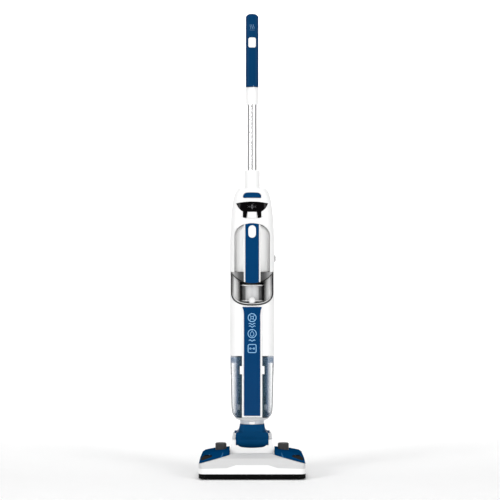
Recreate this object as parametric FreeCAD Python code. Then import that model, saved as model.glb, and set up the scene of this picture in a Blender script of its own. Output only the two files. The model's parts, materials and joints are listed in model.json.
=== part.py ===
"""Upright steam and suction floor cleaner, built as separate closed solids.

Frame: millimetres, +Z up, -Y is the front (the side the operator sees first when
the cleaner comes towards them), +X is the cleaner's left-to-right seen from the front.
Origin: on the floor, on the axis of the tube and body.
"""
import FreeCAD, Part
import math
import os

V = FreeCAD.Vector
os.makedirs("parts", exist_ok=True)

# ---------------------------------------------------------------- driving dimensions
WALL = 2.4                 # casing wall
GAP = 0.4                  # running gap between pieces that move

# floor head
HEAD_HW = 133.5            # half width
HEAD_YF, HEAD_YB = -97.0, 63.0
BASE_Z0, BASE_Z1 = 3.4, 14.6
SHELL_TOP = 60.0
ROLLER_R, ROLLER_W = 8.0, 12.0
ROLLER_X, ROLLER_YF, ROLLER_YB = 117.0, -84.0, 50.0
FOOT_X, FOOT_Y, FOOT_R, FOOT_TOP = 79.0, -10.0, 14.0, 84.7
FOOT_TRAVEL = 6.0

# ankle
HINGE_Y, HINGE_Z = 10.0, 95.0
LOBE_R = 32.0
ANKLE_TOP = 131.5
TRUNNION_R = 5.0

# neck
NECK_BORE_R = 24.4
NECK_R = 24.0
PLUG_R = 20.0
SLEEVE_R = 30.6

# body: height, half width, front y, back y, corner radius
BODY_Z0, BODY_Z1 = 306.0, 727.0
BODY = [
    (306.0, 56.9, -52.0, 52.0, 30.0),
    (433.0, 56.9, -52.0, 52.0, 30.0),
    (519.0, 56.9, -52.0, 52.0, 30.0),
    (560.0, 56.6, -52.0, 52.0, 30.0),
    (597.0, 55.9, -51.6, 52.0, 30.0),
    (648.0, 53.7, -50.4, 51.0, 29.0),
    (673.0, 51.4, -48.8, 50.0, 28.0),
    (698.0, 47.6, -45.8, 47.6, 26.0),
    (716.0, 42.6, -41.2, 44.0, 24.0),
    (727.0, 35.5, -35.0, 39.0, 21.0),
]
COVER_SPLIT_Z = 516.8

# water tank
TANK_Z0, TANK_Z1 = 150.2, 303.4
TANK_HW_TOP, TANK_HW_LOW = 55.3, 52.4
TANK_YF, TANK_YB = -50.0, 18.0

# suction unit
CUP_HW, CUP_Z0, CUP_SIDE_Z = 53.0, 432.8, 466.0
ARC_R = 62.1
ARC_CZ = 488.4 + ARC_R
BAR_HW, BAR_Z0, BAR_Z1 = 17.0, 489.6, 639.0
RIM_HW = 20.8
BAR_YF = -80.0
UNIT_HW, UNIT_TOP, UNIT_SHOULDER = 43.7, 635.4, 612.0
UNIT_YF, UNIT_YB = -41.0, 34.0

# tube and grip
TUBE_R = 12.0
TUBE_Z0, TUBE_Z1 = 742.0, 1000.0
SOCKET_R, SOCKET_TOP = 19.6, 774.4
COLLAR_R, COLLAR_Z0, COLLAR_Z1 = 15.6, 940.5, 984.8
GRIP_HW, GRIP_HD, GRIP_Z0, GRIP_Z1 = 16.0, 19.0, 985.4, 1170.4


# ---------------------------------------------------------------- helpers
def box(x0, x1, y0, y1, z0, z1):
    return Part.makeBox(x1 - x0, y1 - y0, z1 - z0, V(x0, y0, z0))


def cyl(x, y, z, r, h, axis=(0, 0, 1)):
    return Part.makeCylinder(r, h, V(x, y, z), V(*axis))


def face_of(points):
    vs = [V(*p) for p in points]
    vs.append(vs[0])
    return Part.Face(Part.makePolygon(vs))


def prism_xz(pts, y0, y1):
    return face_of([(x, y0, z) for x, z in pts]).extrude(V(0, y1 - y0, 0))


def prism_yz(pts, x0, x1):
    return face_of([(x0, y, z) for y, z in pts]).extrude(V(x1 - x0, 0, 0))


def prism_xy(pts, z0, z1):
    return face_of([(x, y, z0) for x, y in pts]).extrude(V(0, 0, z1 - z0))


def mirror(s):
    return s.mirror(V(0, 0, 0), V(1, 0, 0))


def rr_wire(z, x0, x1, y0, y1, r):
    """Rounded rectangle in a level plane."""
    r = max(0.5, min(r, (x1 - x0) / 2 - 0.5, (y1 - y0) / 2 - 0.5))
    c = r * (1 - math.sqrt(0.5))
    e = [
        Part.makeLine(V(x0 + r, y0, z), V(x1 - r, y0, z)),
        Part.Arc(V(x1 - r, y0, z), V(x1 - c, y0 + c, z), V(x1, y0 + r, z)).toShape(),
        Part.makeLine(V(x1, y0 + r, z), V(x1, y1 - r, z)),
        Part.Arc(V(x1, y1 - r, z), V(x1 - c, y1 - c, z), V(x1 - r, y1, z)).toShape(),
        Part.makeLine(V(x1 - r, y1, z), V(x0 + r, y1, z)),
        Part.Arc(V(x0 + r, y1, z), V(x0 + c, y1 - c, z), V(x0, y1 - r, z)).toShape(),
        Part.makeLine(V(x0, y1 - r, z), V(x0, y0 + r, z)),
        Part.Arc(V(x0, y0 + r, z), V(x0 + c, y0 + c, z), V(x0 + r, y0, z)).toShape(),
    ]
    return Part.Wire(e)


def rr_prism(x0, x1, y0, y1, r, z0, z1):
    return Part.Face(rr_wire(z0, x0, x1, y0, y1, r)).extrude(V(0, 0, z1 - z0))


def loft(sections):
    return Part.makeLoft([rr_wire(*s) for s in sections], True, True)


def fillet(s, r, pick):
    """Round the edges whose middle point passes the test, or leave them sharp."""
    edges = [e for e in s.Edges if pick(e)]
    if not edges:
        return s
    try:
        t = s.makeFillet(r, edges)
        if t.isValid() and len(t.Solids) == len(s.Solids) and t.Volume > 0:
            return t
    except Exception:
        pass
    out = s
    for e in edges:
        mid = e.valueAt((e.FirstParameter + e.LastParameter) / 2)
        near = [f for f in out.Edges
                if (f.valueAt((f.FirstParameter + f.LastParameter) / 2) - mid).Length < 1e-3]
        if not near:
            continue
        try:
            t = out.makeFillet(r, near[:1])
            if t.isValid() and len(t.Solids) == len(out.Solids):
                out = t
        except Exception:
            continue
    return out


def mid(e):
    return e.valueAt((e.FirstParameter + e.LastParameter) / 2)


def smooth_face_xz(pts, y):
    c = Part.BSplineCurve()
    c.interpolate([V(x, y, z) for x, z in pts], PeriodicFlag=True)
    return Part.Face(Part.Wire([c.toShape()]))


def arc_xz(xa, za, xm, zm, xb, zb, y):
    return Part.Arc(V(xa, y, za), V(xm, y, zm), V(xb, y, zb)).toShape()


def line(a, b):
    return Part.makeLine(V(*a), V(*b))


def one(s):
    """A clean single solid."""
    s = s.removeSplitter()
    if len(s.Solids) > 1:
        s = max(s.Solids, key=lambda t: t.Volume)
    elif len(s.Solids) == 1:
        s = s.Solids[0]
    return s


PARTS = {}


def keep(name, *solids):
    if len(solids) == 1:
        shape = one(solids[0])
    else:
        shape = Part.makeCompound([one(s) for s in solids])
    PARTS[name] = shape
    return shape


# ================================================================ floor head
# outline of the head seen from the front, and from the side
def head_front(d=0.0, z0=BASE_Z1):
    h = HEAD_HW - d
    return [(-h, z0), (-h, 39.0 - d), (-52.0, SHELL_TOP - d), (52.0, SHELL_TOP - d), (h, 39.0 - d), (h, z0)]


def head_side(d=0.0, z0=BASE_Z1):
    return [(HEAD_YF + d, z0), (HEAD_YF + d, 26.0), (HEAD_YF + 4 + d, 38.0), (HEAD_YF + 15 + d, 52.0),
            (HEAD_YF + 33 + d, SHELL_TOP - d), (32.0, SHELL_TOP - d), (HEAD_YB - 8 - d, 44.0 - d),
            (HEAD_YB - d, 30.0), (HEAD_YB - d, z0)]


def head_solid(d=0.0, z0=BASE_Z1):
    a = prism_xz(head_front(d, z0), HEAD_YF - 1, HEAD_YB + 1)
    b = prism_yz(head_side(d, z0), -HEAD_HW - 1, HEAD_HW + 1)
    c = rr_prism(-HEAD_HW + d, HEAD_HW - d, HEAD_YF + d, HEAD_YB - d, 16.0 - d, z0, 80.0)
    return a.common(b).common(c)


head_out = head_solid(0.0)
head_in = head_solid(2.8, BASE_Z1 - 1.0)
shell = head_out.cut(head_in)
# the ankle sweeps a round trough through the top
trough = cyl(-42.2, HINGE_Y, HINGE_Z, LOBE_R + 2.2, 84.4, (1, 0, 0))
shell = shell.cut(trough)
for s in (-1, 1):
    shell = shell.cut(cyl(s * FOOT_X, FOOT_Y, 30.0, 18.2, 40.0))
# parting line of the two shells: lower at the ends, higher in the middle
part_line = [(-140.0, 10.0), (-140.0, 27.5), (-64.0, 29.5), (-40.0, 36.8), (40.0, 36.8), (64.0, 29.5),
             (140.0, 27.5), (140.0, 10.0)]
below = prism_xz(part_line, HEAD_YF - 5, HEAD_YB + 5)
lower_shell = shell.common(below)
upper_shell = shell.cut(below)
# four screw posts under the shell
posts = [(-100.0, -66.0), (100.0, -66.0), (-100.0, 34.0), (100.0, 34.0)]
keep("lower_shell", lower_shell)
keep("upper_shell", upper_shell)

base = rr_prism(-HEAD_HW, HEAD_HW, HEAD_YF, HEAD_YB, 16.0, BASE_Z0, BASE_Z1)
base = base.cut(rr_prism(-105.0, 105.0, -74.0, 32.0, 6.0, BASE_Z0 - 1, 9.0))      # seat of the sole frame
base = base.cut(rr_prism(-98.0, 98.0, -66.0, -50.0, 5.0, 0.0, 20.0))              # suction mouth
base = base.cut(rr_prism(-60.0, 60.0, -2.0, 4.0, 2.0, 0.0, 20.0))                 # steam slot
for x in (-ROLLER_X, ROLLER_X):
    for y in (ROLLER_YF, ROLLER_YB):
        base = base.cut(box(x - ROLLER_W / 2 - 1.0, x + ROLLER_W / 2 + 1.0, y - ROLLER_R - 1.2, y + ROLLER_R + 1.2, 0.0, 13.0 + 6))
        base = base.cut(cyl(x - 10.0, y, ROLLER_R, 1.55, 20.0, (1, 0, 0)))
for x, y in posts:
    base = base.cut(cyl(x + (12 if x > 0 else -12), y, 0.0, 2.2, 20.0))
keep("base_plate", base)

axles, rollers = [], {}
for side, x in (("left", -ROLLER_X), ("right", ROLLER_X)):
    for end, y in (("front", ROLLER_YF), ("rear", ROLLER_YB)):
        axles.append(cyl(x - 9.5, y, ROLLER_R, 1.5, 19.0, (1, 0, 0)))
        # barrel-shaped roller: highest in the middle of its width
        w = ROLLER_W / 2
        prof = Part.Wire([
            line((x - w, y, ROLLER_R + 1.6), (x - w, y, ROLLER_R + 5.6)),
            Part.Arc(V(x - w, y, ROLLER_R + 5.6), V(x, y, 2 * ROLLER_R), V(x + w, y, ROLLER_R + 5.6)).toShape(),
            line((x + w, y, ROLLER_R + 5.6), (x + w, y, ROLLER_R + 1.6)),
            line((x + w, y, ROLLER_R + 1.6), (x - w, y, ROLLER_R + 1.6)),
        ])
        keep("roller_%s_%s" % (end, side), Part.Face(prof).revolve(V(x, y, ROLLER_R), V(1, 0, 0), 360))
keep("roller_axles", *axles)

# side covers: glossy wedges over each wing, open below, with a slot near the outer end
cov_poly = [(57.2, 59.2), (57.2, 70.2), (94.0, 66.0), (119.0, 60.4), (126.4, 55.4), (133.0, 39.8)]
cov_side = [(-84.0, 36.0), (-80.0, 47.0), (-70.0, 57.0), (-52.0, 66.4), (-20.0, 75.2), (10.0, 79.4), (28.0, 76.0), (46.0, 62.0), (55.0, 40.0), (55.0, 36.0)]
cover = prism_xz(cov_poly, -90.0, 60.0).common(prism_yz(cov_side, 40.0, 140.0))
cover = fillet(cover, 5.0, lambda e: (mid(e).z > 55 and e.BoundBox.XLength > 20 and abs(mid(e).y) > 20))
cov_in_poly = [(59.6, 50.0), (59.6, 67.6), (94.0, 63.4), (117.8, 58.0), (124.4, 53.6), (131.0, 36.0)]
cov_in_side = [(-81.0, 30.0), (-77.8, 45.6), (-68.6, 54.6), (-51.0, 63.8), (-19.4, 72.6), (10.0, 76.8), (26.8, 73.6), (43.8, 60.4), (52.4, 39.4), (52.4, 30.0)]
cov_in = prism_xz(cov_in_poly, -90.0, 60.0).common(prism_yz(cov_in_side, 40.0, 140.0))
cover = cover.cut(cov_in)
cover = cover.cut(head_solid(-0.05).fuse(prism_xz([(40, 20), (40, 60), (52, 60.05), (140, 37.1), (140, 20)], -100, 70)))
cover = cover.cut(cyl(FOOT_X, FOOT_Y, 50.0, FOOT_R + GAP + 0.2, 40.0))
# shallow three-sided recess near the outer front end
slot = prism_xz([(101.0, 58.6), (129.6, 60.6), (131.4, 50.6), (126.5, 48.6)], -90.0, -40.0)
skin = cover.common(slot)
skin.translate(V(0, 1.3, -0.9))
cover = cover.cut(cover.common(slot).cut(skin))
keep("side_cover_right", cover)
keep("side_cover_left", mirror(PARTS["side_cover_right"]))

for side, s in (("left", -1), ("right", 1)):
    b = cyl(0, 0, 58.5, FOOT_R, FOOT_TOP - 58.5)
    b = b.common(Part.makeSphere(90.0, V(0, 0, FOOT_TOP - 90.0)))
    b = fillet(b, 3.4, lambda e: mid(e).z > FOOT_TOP - 3.0 and e.BoundBox.XLength > 20)
    b = b.fuse(cyl(0, 0, 57.0, 17.2, 3.0))
    b.translate(V(s * FOOT_X, FOOT_Y, 0))
    keep("foot_button_%s" % side, b)

# sole frame with two bristle rows, held in the base plate's seat
frame = rr_prism(-104.4, 104.4, -73.4, 31.4, 5.5, 2.4, 8.4)
frame = frame.cut(rr_prism(-99.0, 99.0, -67.0, -49.0, 4.0, 0.0, 12.0))
frame = frame.cut(rr_prism(-88.0, 88.0, -36.0, 20.0, 6.0, 0.0, 12.0))
frame = frame.fuse(box(-88.0, 88.0, -11.0, -5.0, 2.4, 8.4))
for x in (-44.0, 44.0):
    frame = frame.fuse(box(x - 3, x + 3, -36.0, 20.0, 2.4, 8.4))
rows = []
for y in (-70.5, -43.0):
    frame = frame.cut(box(-95.0, 95.0, y - 1.6, y + 1.6, 1.0, 5.5))
    rows.append(box(-95.0, 95.0, y - 1.5, y + 1.5, 0.6, 5.5))
keep("bristle_frame", frame)
keep("bristle_strips", *rows)

# suction channel inside the head: wide at the mouth, narrow under the ankle
ch_out = prism_xz([(-96.0, 14.8), (-96.0, 22.0), (-30.0, 40.0), (30.0, 40.0), (96.0, 22.0), (96.0, 14.8)], -68.0, -46.0)
ch_out = ch_out.fuse(box(-22.0, 22.0, -46.0, 12.0, 20.0, 40.0))
ch_in = prism_xz([(-94.0, 12.0), (-94.0, 20.8), (-28.0, 38.0), (28.0, 38.0), (94.0, 20.8), (94.0, 12.0)], -66.0, -48.0)
ch_in = ch_in.fuse(box(-20.0, 20.0, -49.0, 10.0, 22.0, 38.0))
ch_out = ch_out.cut(ch_in).cut(cyl(0, 0, 36.0, 8.0, 8.0))
keep("suction_channel", ch_out)

nozzle = box(-58.0, 58.0, -4.0, 6.0, 14.8, 19.4)
nozzle = nozzle.cut(box(-56.0, 56.0, -2.0, 4.0, 14.0, 17.6))
keep("steam_nozzle", fillet(nozzle, 1.0, lambda e: mid(e).z > 19.3))

# ankle yoke: two ears, a front wall with a U-shaped opening, trunnion pins inside
yk_front = [(-57.0, 57.0), (-53.8, 72.7), (-48.3, 111.0), (48.3, 111.0), (53.8, 72.7), (57.0, 57.0)]
yoke = prism_xz(yk_front, -32.0, 26.0)
side = prism_yz([(-31.0, 57.0), (-28.0, 76.0), (-20.0, 92.0), (-5.0, 95.0), (25.0, 95.0), (25.0, 57.0)], -60, 60)
side = side.fuse(cyl(-60.0, HINGE_Y, HINGE_Z, 15.0, 120.0, (1, 0, 0)))
yoke = yoke.common(side)
yoke = yoke.cut(box(-42.4, 42.4, -26.5, 40.0, 50.0, 130.0))
# U-shaped opening in the front wall
u = Part.Wire([
    line((-42.4, -40, 130), (-42.4, -40, 96.0)),
    Part.Arc(V(-42.4, -40, 96.0), V(-37.4, -40, 80.6), V(-24.0, -40, 73.8)).toShape(),
    Part.Arc(V(-24.0, -40, 73.8), V(0, -40, 72.4), V(24.0, -40, 73.8)).toShape(),
    Part.Arc(V(24.0, -40, 73.8), V(37.4, -40, 80.6), V(42.4, -40, 96.0)).toShape(),
    line((42.4, -40, 96.0), (42.4, -40, 130)),
    line((42.4, -40, 130), (-42.4, -40, 130)),
])
yoke = yoke.cut(Part.Face(u).extrude(V(0, 40, 0)))
yoke = yoke.cut(trough)
yoke = yoke.cut(head_out)
for s in (-1, 1):
    x0 = 37.6 if s > 0 else -43.4
    yoke = yoke.fuse(cyl(x0, HINGE_Y, HINGE_Z, TRUNNION_R, 5.8, (1, 0, 0)))
keep("ankle_yoke", yoke)

# ================================================================ ankle
ak_front = [(-31.2, ANKLE_TOP), (-32.2, 122.0), (-34.5, 115.5), (-38.4, 111.0), (-41.4, 107.0), (-41.4, 60.0),
            (41.4, 60.0), (41.4, 107.0), (38.4, 111.0), (34.5, 115.5), (32.2, 122.0), (31.2, ANKLE_TOP)]
ankle = prism_xz(ak_front, -60.0, 60.0)
ak_side = prism_yz([(-31.2, ANKLE_TOP), (-31.4, 115.0), (-26.0, 100.0), (-21.6, 92.0), (10.0, 90.0), (41.5, 92.0), (38.0, 108.0),
                    (31.2, 118.0), (31.2, ANKLE_TOP)], -60, 60)
ak_side = ak_side.fuse(cyl(-60, HINGE_Y, HINGE_Z, LOBE_R, 120.0, (1, 0, 0)))
ankle = ankle.common(ak_side)
# round the upper column
column = rr_prism(-60.0, 60.0, -60.0, 60.0, 1.0, 50.0, 112.0).fuse(rr_prism(-36.0, 36.0, -31.5, 31.5, 20.0, 111.0, 140.0))
ankle = ankle.common(column)
ankle = fillet(ankle, 6.0, lambda e: abs(abs(mid(e).x) - 41.4) < 0.2 and mid(e).z < 90 and e.BoundBox.XLength < 1)
ankle = ankle.cut(cyl(0, 0, 112.0, NECK_BORE_R, 40.0))
ankle = ankle.cut(cyl(0, 0, 84.0, 17.0, 40.0))
ankle = ankle.cut(cyl(0, HINGE_Y, 40.0, 15.0, 50.0))
for s in (-1, 1):
    x0 = 37.0 if s > 0 else -45.0
    ankle = ankle.cut(cyl(x0, HINGE_Y, HINGE_Z, TRUNNION_R + GAP, 8.0, (1, 0, 0)))
# thin horn over each ear, concentric with the hinge
for s in (-1, 1):
    x0 = 39.0 if s > 0 else -44.6
    horn = cyl(x0, HINGE_Y, HINGE_Z, 18.0, 5.6, (1, 0, 0)).cut(cyl(x0 - 1, HINGE_Y, HINGE_Z, 15.7, 8.0, (1, 0, 0)))
    a0, a1 = math.radians(66), math.radians(128)
    wedge = prism_yz([(HINGE_Y, HINGE_Z), (HINGE_Y + 40 * math.cos(a0), HINGE_Z + 40 * math.sin(a0)),
                      (HINGE_Y, HINGE_Z + 60), (HINGE_Y + 40 * math.cos(a1), HINGE_Z + 40 * math.sin(a1))], x0, x0 + 5.6)
    ankle = ankle.fuse(horn.common(wedge))
keep("ankle", ankle)

neck = cyl(0, 0, 112.6, NECK_R, 18.6).fuse(cyl(0, 0, 131.0, PLUG_R, 14.4)).cut(cyl(0, 0, 100.0, 16.0, 60.0))
keep("neck_swivel", neck)

# ================================================================ body
LEVELS = (519.0, 540.0, 560.0, 580.0, 600.0, 618.0, 636.0, 652.0, 666.0, 679.0, 690.0, 699.0, 707.0, 713.5, 719.0, 723.0)


def body_sections(d, z0, z1):
    """Level sections of the body, inset by d, between two heights."""
    zs = [z0] + [q for q in LEVELS if z0 + 1 < q < z1 - 1] + [z1]
    return [body_section(q, d) for q in zs]


def pchip(xs, ys, x):
    n = len(xs)
    h = [xs[i + 1] - xs[i] for i in range(n - 1)]
    dl = [(ys[i + 1] - ys[i]) / h[i] for i in range(n - 1)]
    m = [0.0] * n
    m[0], m[-1] = dl[0], dl[-1]
    for i in range(1, n - 1):
        if dl[i - 1] * dl[i] <= 0:
            m[i] = 0.0
        else:
            w1, w2 = 2 * h[i] + h[i - 1], h[i] + 2 * h[i - 1]
            m[i] = (w1 + w2) / (w1 / dl[i - 1] + w2 / dl[i])
    x = max(xs[0], min(xs[-1], x))
    i = max(j for j in range(n - 1) if xs[j] <= x)
    t = (x - xs[i]) / h[i]
    return ((2 * t ** 3 - 3 * t ** 2 + 1) * ys[i] + (t ** 3 - 2 * t ** 2 + t) * h[i] * m[i]
            + (-2 * t ** 3 + 3 * t ** 2) * ys[i + 1] + (t ** 3 - t ** 2) * h[i] * m[i + 1])


BZ = [b[0] for b in BODY]


def body_section(z, d=0.0):
    hw, yf, yb, r = [pchip(BZ, [b[k] for b in BODY], z) for k in (1, 2, 3, 4)]
    return (z, -hw + d, hw - d, yf + d, yb - d, r - d)


body_out = loft(body_sections(0.0, BODY_Z0, BODY_Z1))
body_out = fillet(body_out, 4.0, lambda e: mid(e).z > BODY_Z1 - 0.2)
body_in = loft(body_sections(WALL, BODY_Z0 + WALL, BODY_Z1 - WALL))
hull = body_out.cut(body_in)
plus = loft(body_sections(-0.9, BODY_Z0, BODY_Z1))
minus = loft(body_sections(1.3, BODY_Z0, BODY_Z1))

# pocket of the cup in the lower panel, seen from the front
def cup_outline(d, top, arc=True):
    """Closed outline of the cup: straight sides, one soft round bottom."""
    hw = CUP_HW + d
    pts = []
    n = 28
    for i in range(n + 1):
        a = math.pi * (1 + i / n)
        c, s = math.cos(a), math.sin(a)
        x = hw * (abs(c) ** (2 / 2.5)) * (1 if c > 0 else -1)
        z = CUP_SIDE_Z - (CUP_SIDE_Z - CUP_Z0 + d) * (abs(s) ** (2 / 2.5))
        pts.append((x, z))
    c = Part.BSplineCurve()
    c.interpolate([V(x, 0, z) for x, z in pts])
    return Part.Wire([c.toShape(), line((hw, 0, CUP_SIDE_Z), (hw, 0, top)), line((hw, 0, top), (-hw, 0, top)),
                      line((-hw, 0, top), (-hw, 0, CUP_SIDE_Z))])


def cup_block(d, y0, y1, top):
    w = cup_outline(d, top)
    f = Part.Face(w)
    f.translate(V(0, y0, 0))
    return f.extrude(V(0, y1 - y0, 0))


UB = 36.0   # back of the pocket for the suction unit
pocket_low = cup_block(0.5, -100.0, UB, 530.0)


def unit_block(d, y0, y1, z0):
    hw, top = UNIT_HW + d, UNIT_TOP + d
    w = Part.Wire([
        line((-hw, y0, z0), (hw, y0, z0)),
        line((hw, y0, z0), (hw, y0, UNIT_SHOULDER)),
        Part.Arc(V(hw, y0, UNIT_SHOULDER), V(hw * 0.72, y0, UNIT_SHOULDER + (top - UNIT_SHOULDER) * 0.78), V(0, y0, top)).toShape(),
        Part.Arc(V(0, y0, top), V(-hw * 0.72, y0, UNIT_SHOULDER + (top - UNIT_SHOULDER) * 0.78), V(-hw, y0, UNIT_SHOULDER)).toShape(),
        line((-hw, y0, UNIT_SHOULDER), (-hw, y0, z0)),
    ])
    return Part.Face(w).extrude(V(0, y1 - y0, 0))


pocket_up = unit_block(0.6, -100.0, UB, 500.0)

rear = hull.common(box(-80, 80, 0.0, 80, 300, 740))
rear = rear.cut(cyl(0, 34.0, 300.0, 14.6, 12.0))
rear = rear.cut(pocket_low).cut(pocket_up)
rear = rear.cut(cyl(0, 0, 720.0, 19.0, 12.0))
# seat of the rocker on the right flank, opening of the cord gland, screws
rear = rear.cut(cyl(0, 40.0, 600.0, 6.05, 20.0, (0, 1, 0)))
rear = rear.cut(cyl(0, 40.0, 690.0, 4.4, 20.0, (0, 1, 0)))
screw_at = [(-34.0, 340.0), (34.0, 340.0), (-34.0, 470.0), (34.0, 470.0), (-30.0, 640.0), (30.0, 640.0)]
for x, z in screw_at:
    rear = rear.cut(cyl(x, 40.0, z, 2.05, 20.0, (0, 1, 0)))
rocker_hole = box(40.0, 70.0, -7.0, 7.0, 535.0, 565.0)
rear = rear.cut(rocker_hole)

front = hull.common(box(-80, 80, -80, 0.0, COVER_SPLIT_Z, 740))
front = front.cut(pocket_up).cut(rocker_hole).cut(cyl(0, 0, 720.0, 19.0, 12.0))

panel = hull.common(box(-80, 80, -80, 0.0, 300, COVER_SPLIT_Z - 0.4))
panel = panel.cut(pocket_low)

# fascia outline: pointed ends, arched top, two legs down
fa = Part.Wire([
    Part.Arc(V(-40.2, 0, 689.4), V(0, 0, 693.8), V(40.2, 0, 689.4)).toShape(),
    line((40.2, 0, 689.4), (37.9, 0, 684.5)),
    Part.Arc(V(37.9, 0, 684.5), V(33.6, 0, 677.2), V(28.0, 0, 671.8)).toShape(),
    line((28.0, 0, 671.8), (23.0, 0, 668.4)),
    line((23.0, 0, 668.4), (23.4, 0, 653.8)),
    line((23.4, 0, 653.8), (14.0, 0, 651.6)),
    line((14.0, 0, 651.6), (12.2, 0, 668.4)),
    line((12.2, 0, 668.4), (-12.2, 0, 668.4)),
    line((-12.2, 0, 668.4), (-14.0, 0, 651.6)),
    line((-14.0, 0, 651.6), (-23.4, 0, 653.8)),
    line((-23.4, 0, 653.8), (-23.0, 0, 668.4)),
    line((-23.0, 0, 668.4), (-28.0, 0, 671.8)),
    Part.Arc(V(-28.0, 0, 671.8), V(-33.6, 0, 677.2), V(-37.9, 0, 684.5)).toShape(),
    line((-37.9, 0, 684.5), (-40.2, 0, 689.4)),
])
fa_face = Part.Face(fa)
fa_face.translate(V(0, -80, 0))
fa_block = fa_face.extrude(V(0, 70, 0))
front = front.cut(fa_block.cut(minus))
fascia = fa_block.common(plus).cut(loft(body_sections(1.25, BODY_Z0, BODY_Z1)))


def oval(cx, cz, hx, hz, y0, y1):
    """Prism with an oval face in XZ."""
    if hx >= hz:
        e = Part.Ellipse(V(cx, y0, cz), hx, hz)
    else:
        e = Part.Ellipse(V(cx, y0, cz), hz, hx)
    n = Part.Ellipse(V(cx + hx, y0, cz), V(cx, y0, cz + hz), V(cx, y0, cz)) if hx >= hz else \
        Part.Ellipse(V(cx, y0, cz + hz), V(cx + hx, y0, cz), V(cx, y0, cz))
    return Part.Face(Part.Wire([n.toShape()])).extrude(V(0, y1 - y0, 0))


pad_hole = oval(0, 681.0, 12.2, 7.6, -60.0, -30.0)
fascia = fascia.cut(pad_hole)
front = front.cut(pad_hole)
keep("control_fascia", fascia)
keep("control_pad", oval(0, 681.0, 11.8, 7.2, -50.6, -36.0).cut(box(-30, 30, -45.0, -30, 600, 700).common(oval(0, 681.0, 9.0, 5.0, -45.0, -36.0))))

# white tab between the fascia legs
tab_hole = box(-11.8, 11.8, -60.0, -30.0, 651.8, 668.0)
front = front.cut(tab_hole)
tab = rr_prism(-11.3, 11.3, -51.6, -40.0, 1.5, 652.3, 667.5)
keep("unit_latch", fillet(tab, 1.2, lambda e: mid(e).y < -51.0))

# half-moon button under the tube socket
def moon_face(g, y):
    """Low arch with a flattened top and round shoulders, grown by g."""
    w, zl, zt, f = 22.2 + g, 703.6 - g, 716.4 + g, 12.0
    e = Part.Wire([
        line((-w + 2.0, 0, zl), (w - 2.0, 0, zl)),
        Part.Arc(V(w - 2.0, 0, zl), V(w - 0.4, 0, zl + 0.7), V(w, 0, zl + 2.4)).toShape(),
        Part.Arc(V(w, 0, zl + 2.4), V(w - 3.4, 0, zt - 3.2), V(f, 0, zt - 0.5)).toShape(),
        Part.Arc(V(f, 0, zt - 0.5), V(0, 0, zt), V(-f, 0, zt - 0.5)).toShape(),
        Part.Arc(V(-f, 0, zt - 0.5), V(-w + 3.4, 0, zt - 3.2), V(-w, 0, zl + 2.4)).toShape(),
        Part.Arc(V(-w, 0, zl + 2.4), V(-w + 0.4, 0, zl + 0.7), V(-w + 2.0, 0, zl)).toShape(),
    ])
    f = Part.Face(e)
    f.translate(V(0, y, 0))
    return f


moon = moon_face(0.0, -47.4).extrude(V(0, 14.0, 0))
front = front.cut(moon_face(0.8, -60.0).extrude(V(0, 35, 0)))
keep("tube_release_button", fillet(moon, 1.2, lambda e: mid(e).y < -47.3))

# seat of the brush-release and bottom structure
keep("rear_shell", rear)
keep("upper_front_cover", front)

# lower spine behind the tank: holds the suction hose
sp_out = rr_prism(-40.0, 40.0, 21.0, 50.0, 10.0, 149.6, 305.9)
sp_in = rr_prism(-37.6, 37.6, 23.4, 47.6, 8.0, 151.6, 310.0)
spine = sp_out.cut(sp_in)
spine = spine.cut(box(-16.0, 16.0, 18.0, 26.0, 152.0, 186.0))
keep("lower_spine", spine)
keep("lower_front_panel", panel)

# bottom cap: shallow tray under the tank and spine, with the plug bore
cap_o = loft([(141.2, -33.0, 33.0, -32.5, 44.0, 24.0), (144.4, -39.5, 39.5, -39.0, 47.0, 24.0), (149.5, -43.6, 43.6, -46.0, 50.0, 22.0)])
cap_o = cap_o.cut(cyl(0, 0, 130.0, PLUG_R + GAP, 30.0))
keep("bottom_cap", cap_o)
sleeve = cyl(0, 0, 132.0, SLEEVE_R, 9.1).cut(cyl(0, 0, 120.0, PLUG_R + GAP, 40.0))
sleeve = sleeve.cut(box(-7.6, 7.6, -40.0, -21.8, 120.0, 139.9))
keep("neck_sleeve", sleeve)
btn = rr_prism(-7.1, 7.1, -32.6, -25.0, 1.6, 132.0, 139.5)
keep("brush_release_button", fillet(btn, 1.0, lambda e: mid(e).y < -32.5))

# duct elbow between plug bore and spine
el = fillet(rr_prism(-25.0, 25.0, -22.0, 20.9, 8.0, 149.6, 188.0), 5.0, lambda e: mid(e).z > 187.9)
el = el.cut(rr_prism(-15.5, 15.5, -15.5, 15.5, 15.0, 140.0, 184.0)).cut(box(-15.0, 15.0, 0.0, 30.0, 153.0, 184.0))
keep("duct_elbow", el)

# suction hose from the spine up to the cup inlet: straight pipe with a forward outlet
hose = cyl(0, 35.4, 188.0, 11.8, 243.6)
hose = hose.cut(cyl(0, 35.4, 180.0, 10.0, 260.0))
keep("suction_hose", hose)

# boiler and pump inside the lower body
boiler = rr_prism(-30.0, 30.0, -46.0, -2.0, 12.0, 322.0, 418.0)
boiler = fillet(boiler, 4.0, lambda e: mid(e).z > 417.9 or mid(e).z < 322.1)
boiler = boiler.fuse(cyl(0, -24.0, 417.0, 7.0, 8.0)).fuse(box(-34.0, 34.0, -30.0, -18.0, 309.4, 323.0))
boiler = boiler.fuse(box(-48.0, -29.0, -28.0, -20.0, 340.0, 350.0)).fuse(box(29.0, 48.0, -28.0, -20.0, 340.0, 350.0))
keep("boiler", boiler)
pump = rr_prism(-36.0, -14.0, 4.0, 30.0, 4.0, 309.2, 360.0).fuse(cyl(-25.0, 17.0, 359.0, 9.0, 26.0)).fuse(cyl(-25.0, 17.0, 384.0, 3.0, 10.0))
keep("water_pump", pump)

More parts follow.
